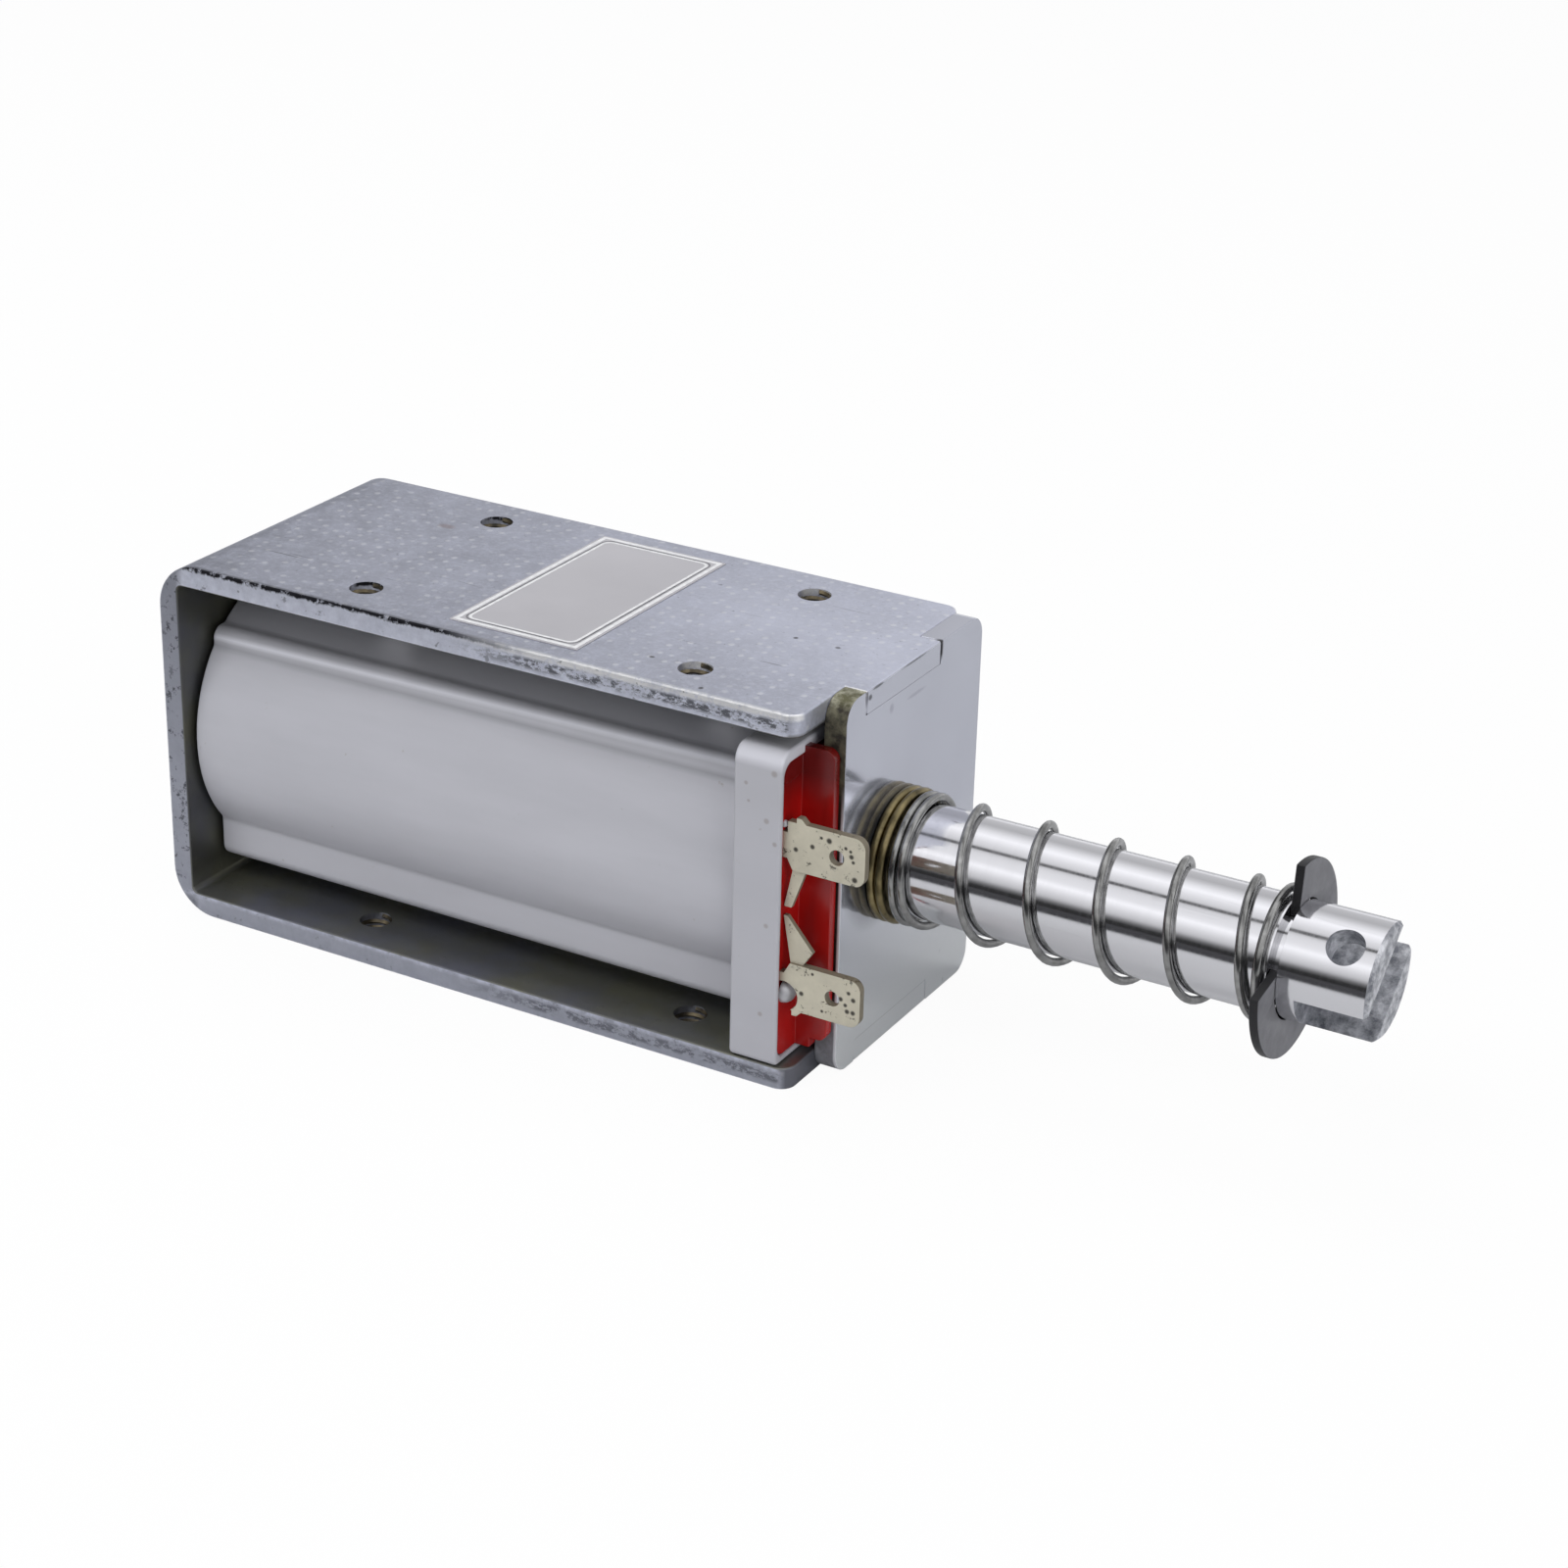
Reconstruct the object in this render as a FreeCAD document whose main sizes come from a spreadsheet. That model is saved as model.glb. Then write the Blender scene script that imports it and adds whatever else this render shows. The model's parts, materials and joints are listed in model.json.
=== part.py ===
"""Box-frame push pull solenoid, seen at rest with its plunger pushed out by the return spring.

Row frame: +X along the stroke, from the back wall to the plunger's fork; +Z up, out of the top
sheet; -Y is the open side with the two blade terminals. The origin is the centre of the four
tapped holes in the bottom sheet, on its outer face. All sizes are millimetres.
"""
import FreeCAD, Part

import math
import os

import Sketcher
from FreeCAD import Placement, Rotation, Vector

doc = FreeCAD.newDocument("PushPullSolenoid")
sheet = doc.addObject("Spreadsheet::Sheet", "Sizes")
sheet_rows = []


class Size:
    """A number together with the expression that gives it, so that sums stay bound to the sheet."""

    def __init__(self, value, text):
        self.value = value
        self.text = text

    def __add__(self, other):
        other = as_size(other)
        return Size(self.value + other.value, "(%s + %s)" % (self.text, other.text))

    def __sub__(self, other):
        other = as_size(other)
        return Size(self.value - other.value, "(%s - %s)" % (self.text, other.text))

    def __mul__(self, other):
        other = as_size(other)
        return Size(self.value * other.value, "(%s * %s)" % (self.text, other.text))

    def __truediv__(self, other):
        other = as_size(other)
        return Size(self.value / other.value, "(%s / %s)" % (self.text, other.text))

    def __neg__(self):
        return Size(-self.value, "(0 - %s)" % self.text)


def as_size(number):
    """A plain number as a Size; a Size comes back as it is."""
    if isinstance(number, Size):
        return number
    return Size(float(number), repr(float(number)))


def size(alias, value, note):
    """One driving dimension: a row of the sheet with its name, value and meaning."""
    row = str(len(sheet_rows) + 1)
    sheet.set("A" + row, alias)
    sheet.set("B" + row, str(value))
    sheet.set("C" + row, note)
    sheet.setAlias("B" + row, alias)
    sheet_rows.append(alias)
    return Size(float(value), "Sizes." + alias)


# Driving dimensions: the folded frame and its front plate
frame_length = size("frame_length", 74.5, "back wall's outer face to front plate's outer face")
frame_width = size("frame_width", 32.0, "width of the folded sheet")
frame_height = size("frame_height", 38.0, "outer face to outer face of the two flat sheets")
sheet_thick = size("sheet_thick", 2.3, "thickness of the folded sheet")
bend_inner = size("bend_inner", 0.6, "inner radius of the two coined bends")
bend_outer = size("bend_outer", 4.8, "outer radius of the two bends")
sheet_corner = size("sheet_corner", 1.6, "rounding of the sheets' front corners")
plate_thick = size("plate_thick", 2.3, "thickness of the front plate")
plate_setback = size("plate_setback", 5.0, "front plate's near edge behind the frame's near edge")
plate_corner = size("plate_corner", 2.2, "rounding of the front plate's four corners")
tongue_share = size("tongue_share", 0.456, "locking tongues' share of the frame's width")
lock_gap = size("lock_gap", 0.03, "play of a staked or pressed joint")

# Driving dimensions: mounting holes and label
hole_pitch_long = size("hole_pitch_long", 37.0, "mounting hole distance along the stroke")
hole_pitch_cross = size("hole_pitch_cross", 22.2, "mounting hole distance across the frame")
hole_setback = size("hole_setback", 21.7, "back wall's outer face to the first hole row")
tap_bore = size("tap_bore", 3.3, "core diameter of the tapped mounting holes")
label_long = size("label_long", 14.3, "label's side along the stroke")
label_cross = size("label_cross", 27.0, "label's side across the frame")
label_thick = size("label_thick", 0.12, "thickness of the foil label")

# Driving dimensions: plunger and fork
plunger_dia = size("plunger_dia", 11.0, "diameter of the plunger")
plunger_length = size("plunger_length", 76.0, "plunger from its nose to its fork end")
plunger_reach = size("plunger_reach", 48.9, "fork end past the front plate at rest")
stroke = size("stroke", 22.0, "travel from the rest position to the pulled-in position")
nose_length = size("nose_length", 4.0, "length of the plunger's conical nose")
nose_dia = size("nose_dia", 5.0, "diameter of the nose's flat tip")
fork_slot = size("fork_slot", 4.8, "width of the slot in the fork end")
fork_depth = size("fork_depth", 6.8, "depth of the slot in the fork end")
fork_angle = size("fork_angle", 50.0, "tilt of the cross hole above the near side, in degrees")
cross_bore = size("cross_bore", 3.5, "diameter of the cross hole")
cross_setback = size("cross_setback", 3.2, "fork end to the cross hole's axis")
fork_chamfer = size("fork_chamfer", 0.35, "chamfer round the fork end")

# Driving dimensions: plunger clip and return spring
clip_setback = size("clip_setback", 8.5, "fork end to the clip groove's front wall")
clip_thick = size("clip_thick", 0.9, "thickness of the plunger clip")
clip_play = size("clip_play", 0.05, "axial play of a clip on each side in its groove")
clip_outer_dia = size("clip_outer_dia", 18.5, "outer diameter of the plunger clip")
clip_groove_dia = size("clip_groove_dia", 9.0, "diameter at the bottom of the clip groove")
clip_seat_play = size("clip_seat_play", 0.03, "radial play of a clip on its groove")
clip_facing = size("clip_facing", 43.0, "tilt of the clip's mouth above the near side, in degrees")
spring_wire = size("spring_wire", 0.8, "diameter of the spring's wire")
spring_play = size("spring_play", 0.2, "radial play of the spring on the plunger")
spring_turns = size("spring_turns", 5.0, "open turns of the spring")
closed_first = size("closed_first", 1.5, "closed turns of the spring at the guide tube's collar")
closed_last = size("closed_last", 1.25, "closed turns of the spring at the clip")
closed_gap = size("closed_gap", 0.03, "gap between two closed turns of the spring")
spring_start_angle = size("spring_start_angle", 38.0, "where the wire begins, from +Y to +Z")
spring_rest_gap = size("spring_rest_gap", 0.04, "gap that keeps the spring's ends off their seats")

# Driving dimensions: guide tube, fixed core and push rod
tube_play = size("tube_play", 0.06, "radial play of the plunger in the guide tube")
tube_wall = size("tube_wall", 0.55, "wall of the guide tube")
collar_length = size("collar_length", 1.8, "guide tube's rolled collar in front of the plate")
collar_height = size("collar_height", 0.5, "how far the collar stands out from the tube")
core_cone_depth = size("core_cone_depth", 3.4, "depth of the fixed core's conical seat")
core_cone_rim = size("core_cone_rim", 0.4, "flat rim round the conical seat")
spigot_dia = size("spigot_dia", 7.0, "core's spigot through the back wall")
rivet_head_dia = size("rivet_head_dia", 9.2, "core's riveted head behind the back wall")
rivet_head_thick = size("rivet_head_thick", 0.9, "thickness of the riveted head")
rod_dia = size("rod_dia", 3.0, "diameter of the push rod")
rod_play = size("rod_play", 0.08, "radial play of the push rod in the core")
rod_hold = size("rod_hold", 9.0, "push rod's length inside the plunger")
rod_tail = size("rod_tail", 2.6, "push rod's end past its clip")
rod_clip_thick = size("rod_clip_thick", 0.6, "thickness of the push rod's clip")
rod_clip_dia = size("rod_clip_dia", 6.0, "outer diameter of the push rod's clip")
rod_groove_dia = size("rod_groove_dia", 2.3, "diameter at the bottom of the push rod's groove")
seat_damper_thick = size("seat_damper_thick", 0.8, "damping disc in the core's seat")
end_damper_thick = size("end_damper_thick", 1.5, "rubber washer that stops the outward travel")
end_damper_dia = size("end_damper_dia", 8.4, "outer diameter of the rubber washer")
end_washer_thick = size("end_washer_thick", 0.6, "steel washer behind the rubber washer")
end_washer_dia = size("end_washer_dia", 7.6, "outer diameter of the steel washer")
stop_gap = size("stop_gap", 0.05, "gap left between a stop and what it stops")

# Driving dimensions: bobbin, winding and moulded cover
fit_gap = size("fit_gap", 0.05, "play between moulded parts and their neighbours")
insulator_thick = size("insulator_thick", 0.4, "fibre disc on the back wall")
barrel_wall = size("barrel_wall", 1.0, "wall of the bobbin's barrel")
rear_flange_thick = size("rear_flange_thick", 1.8, "bobbin's rear flange")
front_flange_thick = size("front_flange_thick", 1.8, "bobbin's front flange")
spacer_thick = size("spacer_thick", 1.5, "bobbin's block between its front flange and the plate")
lip_thick = size("lip_thick", 1.0, "bobbin's lip over the front plate's near edge")
lip_play = size("lip_play", 0.1, "gap between the lip and the front plate")
lip_setback = size("lip_setback", 0.5, "lip's end behind the front plate's outer face")
lip_inset = size("lip_inset", 1.0, "lip's bottom end above the flange's")
lip_top_gap = size("lip_top_gap", 2.1, "lip's top end below the top sheet")
flange_corner = size("flange_corner", 1.2, "rounding of the front flange's corners")
winding_depth = size("winding_depth", 4.8, "radial depth of the copper winding")
tape_thick = size("tape_thick", 0.25, "insulating tape round the winding")
cover_share = size("cover_share", 0.56, "cover's wall as a share of the room inside the frame")
cover_drop = size("cover_drop", 0.4, "cover's round body below the plunger's axis")
base_half_width = size("base_half_width", 11.4, "flat sides of the cover's square base, from the axis")
base_shoulder = size("base_shoulder", 10.9, "base's shoulders above the plunger's axis")
base_gap = size("base_gap", 2.4, "gap between the bottom sheet and the base")
base_corner = size("base_corner", 1.3, "rounding of the base's long edges")
rim_length = size("rim_length", 5.0, "cover's front rim along the stroke")
rim_back_wall = size("rim_back_wall", 1.2, "wall at the back of the rim")
rim_wall = size("rim_wall", 1.3, "top and far wall of the rim")
rim_low_wall = size("rim_low_wall", 0.6, "bottom wall of the rim")
rim_near_wall = size("rim_near_wall", 0.6, "near wall of the rim")
rim_proud = size("rim_proud", 0.2, "rim's near face past the frame's near edge")
rim_far_gap = size("rim_far_gap", 0.1, "rim's far face inside the frame's far edge")
rim_sheet_gap = size("rim_sheet_gap", 0.1, "rim's gap to the bottom sheet")
rim_top_gap = size("rim_top_gap", 1.6, "rim's gap to the top sheet")
rim_corner = size("rim_corner", 1.6, "rounding of the rim's top corners")
rim_low_corner = size("rim_low_corner", 0.7, "rounding of the rim's bottom corners")
rim_flange_step = size("rim_flange_step", 0.2, "front flange's face inside the rim's front end")

# Driving dimensions: terminals and their connections
blade_thick = size("blade_thick", 0.8, "thickness of the terminals")
blade_width = size("blade_width", 4.8, "width of the terminal blades")
blade_reach = size("blade_reach", 4.6, "blades' ends past the front plate's outer face")
blade_cover = size("blade_cover", 0.25, "flange material outside the terminals' slots")
blade_spacing = size("blade_spacing", 14.25, "distance between the two blades' centres")
blade_drop = size("blade_drop", 1.1, "blades' middle below the plunger's axis")
blade_gap = size("blade_gap", 0.4, "blade's shoulder in front of the flange")
neck_width = size("neck_width", 2.6, "width of the terminals' necks in the flange")
neck_inside = size("neck_inside", 1.3, "length of the necks behind the flange")
blade_hole_dia = size("blade_hole_dia", 1.5, "detent hole in the blades")
blade_hole_setback = size("blade_hole_setback", 2.9, "blade's end to its detent hole")
blade_corner = size("blade_corner", 1.1, "rounding of the blades' end corners")
root_slant = size("root_slant", 0.6, "slant of a blade's root edge")
arm_thick = size("arm_thick", 0.5, "thickness of the terminals' solder arms")
arm_overlap = size("arm_overlap", 0.6, "solder arm's root on its blade")
arm_foot = size("arm_foot", 1.85, "width of a solder arm at its blade")
arm_tip = size("arm_tip", 0.8, "width of the upper solder arm at its tip")
upper_arm_length = size("upper_arm_length", 3.95, "upper solder arm's length past its blade")
lower_arm_length = size("lower_arm_length", 4.6, "lower solder arm's length past its blade")
knee_reach = size("knee_reach", 2.8, "how far the lower solder arm's knee stands out")
knee_rise = size("knee_rise", 1.45, "height of the lower solder arm's knee over its blade")
barb_setback = size("barb_setback", 0.9, "blade's root to its barb")
barb_height = size("barb_height", 0.5, "height of a blade's barb")
barb_width = size("barb_width", 0.5, "width of a blade's barb at its top")
bead_radius = size("bead_radius", 1.15, "lower terminal's solder bead")
bead_drop = size("bead_drop", 1.1, "lower solder bead's centre below the blade's middle")
bead_clearance = size("bead_clearance", 0.35, "gap between the lower solder bead and the blade")
small_bead_radius = size("small_bead_radius", 0.36, "upper terminal's solder bead")
small_bead_rise = size("small_bead_rise", 0.7, "upper solder bead's centre over the neck")
lead_dia = size("lead_dia", 0.5, "diameter of the winding's lead ends")

# Places worked out from the driving dimensions
axis_z = frame_height / 2
tongue_width = frame_width * tongue_share
plunger_r = plunger_dia / 2
back_x = -(hole_setback + hole_pitch_long / 2)
wall_x = back_x + sheet_thick
front_x = back_x + frame_length
plate_x = front_x - plate_thick
near_y = -(frame_width / 2)
far_y = frame_width / 2
top_in_z = frame_height - sheet_thick
plate_near_y = near_y + plate_setback

fork_x = front_x + plunger_reach
nose_x = fork_x - plunger_length
groove_width = clip_thick + clip_play * 2
groove_front_x = fork_x - clip_setback
groove_back_x = groove_front_x - groove_width
clip_back_x = groove_back_x + clip_play
clip_hold_r = clip_groove_dia / 2 + clip_seat_play

tube_in_r = plunger_r + tube_play
tube_out_r = tube_in_r + tube_wall
collar_r = tube_out_r + collar_height
collar_x = front_x + collar_length

seat_x = nose_x - stroke - stop_gap - seat_damper_thick
core_face_x = seat_x + core_cone_depth
head_x = back_x - rivet_head_thick
end_damper_x = head_x - stop_gap
end_washer_x = end_damper_x - end_damper_thick
rod_groove_front_x = end_washer_x - end_washer_thick
rod_groove_width = rod_clip_thick + clip_play * 2
rod_groove_back_x = rod_groove_front_x - rod_groove_width
rod_end_x = rod_groove_back_x - rod_tail
rod_r = rod_dia / 2

bobbin_x = wall_x + insulator_thick
rear_flange_x = bobbin_x + rear_flange_thick
spacer_x = plate_x - spacer_thick
front_flange_x = spacer_x - front_flange_thick
rim_front_x = spacer_x + rim_flange_step
rim_x = rim_front_x - rim_length
barrel_in_r = tube_out_r + fit_gap
barrel_out_r = barrel_in_r + barrel_wall
winding_r = barrel_out_r + fit_gap + winding_depth
tape_in_r = winding_r + lock_gap
tape_r = tape_in_r + tape_thick
cover_bore_r = tape_r + fit_gap * 2
cover_room = axis_z - sheet_thick - cover_bore_r
cover_r = cover_bore_r + cover_room * cover_share

rim_near_y = near_y - rim_proud
rim_far_y = far_y - rim_far_gap
rim_low_z = sheet_thick + rim_sheet_gap
rim_high_z = top_in_z - rim_top_gap
flange_near_y = rim_near_y + rim_near_wall + fit_gap
flange_far_y = rim_far_y - rim_wall - fit_gap
flange_low_z = rim_low_z + rim_low_wall + fit_gap
flange_high_z = rim_high_z - rim_wall - fit_gap
lip_near_y = plate_near_y - lip_play - lip_thick
lip_low_z = flange_low_z + lip_inset
lip_high_z = top_in_z - lip_top_gap

blade_near_y = flange_near_y + blade_cover
blade_far_y = blade_near_y + blade_thick
blade_end_x = front_x + blade_reach
shoulder_x = spacer_x + blade_gap
neck_x = front_flange_x - neck_inside
blades_mid_z = axis_z - blade_drop
upper_blade_z = blades_mid_z + blade_spacing / 2
lower_blade_z = blades_mid_z - blade_spacing / 2


def bind(target, path, amount):
    """Ties one property of an object to an expression of the sheet."""
    amount = as_size(amount)
    target.setExpression(path, amount.text)


def checked(target):
    """Recomputes and stops at once where a feature failed."""
    doc.recompute()
    for item in doc.Objects:
        if "Invalid" in item.State or "Error" in item.State:
            raise RuntimeError("feature failed: " + item.Label + " " + str(item.State))
    return target


def new_body(node):
    """An empty body whose Label is the node's name."""
    body = doc.addObject("PartDesign::Body", "Body_" + node)
    body.Label = node
    return body


def plane_of(body, role):
    """One of the body's own origin planes."""
    for feature in body.Origin.OriginFeatures:
        if feature.Role == role:
            return feature
    raise RuntimeError("no plane " + role)


def new_sketch(body, name, role, lift=0, rise=0):
    """A sketch on an origin plane, lifted along its normal and raised along its own second axis."""
    sketch = body.newObject("Sketcher::SketchObject", name)
    sketch.AttachmentSupport = [(plane_of(body, role), "")]
    sketch.MapMode = "FlatFace"
    lift = as_size(lift)
    rise = as_size(rise)
    sketch.AttachmentOffset = Placement(Vector(0, rise.value, lift.value), Rotation())
    bind(sketch, ".AttachmentOffset.Base.z", lift)
    bind(sketch, ".AttachmentOffset.Base.y", rise)
    return sketch


def hold_point(sketch, curve, point, place):
    """Fixes a point of the sketch at its two coordinates, each bound to the sheet."""
    for kind, axis, amount in (("DistanceX", -2, place[0]), ("DistanceY", -1, place[1])):
        amount = as_size(amount)
        if amount.value == 0:
            sketch.addConstraint(Sketcher.Constraint("PointOnObject", curve, point, axis))
            continue
        index = sketch.addConstraint(
            Sketcher.Constraint(kind, -1, 1, curve, point, amount.value))
        sketch.setExpression("Constraints[%d]" % index, amount.text)


def polygon(sketch, corners):
    """A closed outline of straight lines through the given corners."""
    spots = [Vector(as_size(x).value, as_size(y).value, 0) for x, y in corners]
    first = sketch.GeometryCount
    count = len(spots)
    for step in range(count):
        sketch.addGeometry(Part.LineSegment(spots[step], spots[(step + 1) % count]), False)
    for step in range(count):
        following = first + (step + 1) % count
        sketch.addConstraint(Sketcher.Constraint("Coincident", first + step, 2, following, 1))
    for step in range(count):
        hold_point(sketch, first + step, 1, corners[step])


def rectangle(sketch, low, high):
    """An upright rectangle between two opposite corners."""
    polygon(sketch, [low, (high[0], low[1]), high, (low[0], high[1])])


def circle(sketch, centre, radius):
    """A circle with its centre and radius bound to the sheet."""
    radius = as_size(radius)
    middle = Vector(as_size(centre[0]).value, as_size(centre[1]).value, 0)
    curve = sketch.addGeometry(Part.Circle(middle, Vector(0, 0, 1), radius.value), False)
    hold_point(sketch, curve, 3, centre)
    index = sketch.addConstraint(Sketcher.Constraint("Radius", curve, radius.value))
    sketch.setExpression("Constraints[%d]" % index, radius.text)


def pad(body, sketch, length, both_ways=False):
    """Adds the sketch's area, pushed along its normal, or half each way."""
    feature = body.newObject("PartDesign::Pad", "Pad_" + sketch.Name)
    feature.Profile = sketch
    feature.SideType = "Symmetric" if both_ways else "One side"
    feature.Length = as_size(length).value
    bind(feature, "Length", length)
    return checked(feature)


def pocket(body, sketch, length, both_ways=False, along_normal=False):
    """Cuts the sketch's area away and makes sure that something was cut."""
    before = checked(body).Shape.Volume
    feature = body.newObject("PartDesign::Pocket", "Pocket_" + sketch.Name)
    feature.Profile = sketch
    feature.SideType = "Symmetric" if both_ways else "One side"
    feature.Reversed = along_normal
    feature.Length = as_size(length).value
    bind(feature, "Length", length)
    checked(feature)
    if not feature.Shape.Volume < before:
        raise RuntimeError("pocket cuts nothing: " + sketch.Name)
    return feature


def turned(body, name, outline):
    """Revolves an outline, given as (x, distance from the axis), about the plunger's axis."""
    sketch = new_sketch(body, name, "XZ_Plane", rise=axis_z)
    polygon(sketch, outline)
    feature = body.newObject("PartDesign::Revolution", "Turn_" + name)
    feature.Profile = sketch
    feature.ReferenceAxis = (sketch, ["H_Axis"])
    feature.Angle = 360
    return checked(feature)


def rounded(body, radius, wanted, name):
    """Rounds the edges of the body's tip that the function wanted picks."""
    base = checked(body).Tip
    names = ["Edge%d" % (spot + 1) for spot, edge in enumerate(base.Shape.Edges) if wanted(edge)]
    if not names:
        raise RuntimeError("no edges to round: " + name)
    feature = body.newObject("PartDesign::Fillet", "Round_" + name)
    feature.Base = (base, names)
    feature.Radius = as_size(radius).value
    bind(feature, "Radius", radius)
    return checked(feature)


def close(first, second):
    """True where two lengths are the same within a hundredth."""
    return abs(first - as_size(second).value) < 0.01


def straight_along(edge, direction):
    """True for a straight edge along the given direction."""
    if edge.Curve.TypeId != "Part::GeomLine":
        return False
    return abs(abs(edge.Curve.Direction.dot(direction)) - 1) < 1e-6


def middle_of(edge):
    """The middle of an edge's bounding box."""
    return edge.BoundBox.Center


ALONG_X = Vector(1, 0, 0)
ALONG_Y = Vector(0, 1, 0)
ALONG_Z = Vector(0, 0, 1)


def make_frame():
    """One sheet folded twice: back wall, top and bottom, with a locking tongue at each front end."""
    body = new_body("frame")
    side = new_sketch(body, "FrameSide", "XZ_Plane")
    polygon(side, [(back_x, 0), (plate_x, 0), (plate_x, sheet_thick), (wall_x, sheet_thick),
                   (wall_x, top_in_z), (plate_x, top_in_z), (plate_x, frame_height),
                   (back_x, frame_height)])
    pad(body, side, frame_width, both_ways=True)

    def outer_bend(edge):
        return straight_along(edge, ALONG_Y) and close(middle_of(edge).x, back_x)

    def inner_bend(edge):
        return straight_along(edge, ALONG_Y) and close(middle_of(edge).x, wall_x)

    rounded(body, bend_outer, outer_bend, "outer_bends")
    rounded(body, bend_inner, inner_bend, "inner_bends")

    def front_corner(edge):
        return straight_along(edge, ALONG_Z) and close(middle_of(edge).x, plate_x)

    rounded(body, sheet_corner, front_corner, "sheet_corners")
    tongues = new_sketch(body, "FrameTongues", "XZ_Plane")
    rectangle(tongues, (plate_x - sheet_thick, 0), (front_x, sheet_thick))
    rectangle(tongues, (plate_x - sheet_thick, top_in_z), (front_x, frame_height))
    pad(body, tongues, tongue_width, both_ways=True)

    holes = new_sketch(body, "FrameHoles", "XY_Plane", lift=axis_z)
    for side_x in (-1, 1):
        for side_y in (-1, 1):
            circle(holes, (hole_pitch_long / 2 * side_x, hole_pitch_cross / 2 * side_y),
                   tap_bore / 2)
    pocket(body, holes, frame_height * 2, both_ways=True)
    spigot_hole = new_sketch(body, "FrameSpigotHole", "YZ_Plane", lift=back_x)
    circle(spigot_hole, (0, axis_z), spigot_dia / 2 + lock_gap)
    pocket(body, spigot_hole, sheet_thick * 2, along_normal=True)
    return body


def make_front_plate():
    """The pole plate: four ears round the tongues, and the hole for the guide tube."""
    body = new_body("front_plate")
    notch_half = tongue_width / 2 + lock_gap
    notch_low = sheet_thick + lock_gap
    notch_high = top_in_z - lock_gap
    outline = new_sketch(body, "PlateOutline", "YZ_Plane", lift=plate_x)
    polygon(outline, [(plate_near_y, 0), (-notch_half, 0), (-notch_half, notch_low),
                      (notch_half, notch_low), (notch_half, 0), (far_y, 0),
                      (far_y, frame_height), (notch_half, frame_height),
                      (notch_half, notch_high), (-notch_half, notch_high),
                      (-notch_half, frame_height), (plate_near_y, frame_height)])
    pad(body, outline, plate_thick)
    hole = new_sketch(body, "PlateHole", "YZ_Plane", lift=plate_x)
    circle(hole, (0, axis_z), tube_out_r + lock_gap)
    pocket(body, hole, plate_thick * 2, along_normal=True)

    def ear_corner(edge):
        spot = middle_of(edge)
        at_end = close(spot.z, 0) or close(spot.z, frame_height)
        at_side = close(spot.y, plate_near_y) or close(spot.y, far_y)
        return straight_along(edge, ALONG_X) and at_end and at_side

    rounded(body, plate_corner, ear_corner, "ear_corners")
    return body


def make_bobbin():
    """Moulded bobbin: barrel, round rear flange, square front flange, spacer block and lip."""
    body = new_body("bobbin")
    turned(body, "BobbinBarrel", [
        (bobbin_x, barrel_in_r), (plate_x, barrel_in_r), (plate_x, barrel_out_r),
        (rear_flange_x, barrel_out_r), (rear_flange_x, tape_r), (bobbin_x, tape_r)])
    inner_r = barrel_in_r + barrel_wall / 2
    flange = new_sketch(body, "BobbinFlange", "YZ_Plane", lift=front_flange_x)
    rectangle(flange, (flange_near_y, flange_low_z), (flange_far_y, flange_high_z))
    circle(flange, (0, axis_z), inner_r)
    pad(body, flange, front_flange_thick)
    spacer = new_sketch(body, "BobbinSpacer", "YZ_Plane", lift=spacer_x)
    rectangle(spacer, (lip_near_y, flange_low_z), (flange_far_y, flange_high_z))
    circle(spacer, (0, axis_z), inner_r)
    pad(body, spacer, spacer_thick)
    lip = new_sketch(body, "BobbinLip", "YZ_Plane", lift=spacer_x)
    rectangle(lip, (lip_near_y, lip_low_z), (lip_near_y + lip_thick, lip_high_z))
    pad(body, lip, plate_x - spacer_x + plate_thick - lip_setback)
    slots = new_sketch(body, "BobbinSlots", "YZ_Plane", lift=front_flange_x)
    for blade_z in (upper_blade_z, lower_blade_z):
        rectangle(slots, (blade_near_y - lock_gap, blade_z - neck_width / 2 - lock_gap),
                  (blade_far_y + lock_gap, blade_z + neck_width / 2 + lock_gap))
    pocket(body, slots, front_flange_thick * 3, both_ways=True)

    def flange_edge(edge):
        spot = middle_of(edge)
        at_end = close(spot.z, flange_low_z) or close(spot.z, flange_high_z)
        at_side = close(spot.y, flange_near_y) or close(spot.y, flange_far_y)
        return straight_along(edge, ALONG_X) and at_end and at_side

    rounded(body, flange_corner, flange_edge, "flange_corners")

    def lip_edge(edge):
        spot = middle_of(edge)
        at_end = close(spot.z, lip_low_z) or close(spot.z, lip_high_z)
        return straight_along(edge, ALONG_Y) and at_end and close(spot.x, front_x - lip_setback)

    rounded(body, lip_thick, lip_edge, "lip_ends")
    return body


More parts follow.
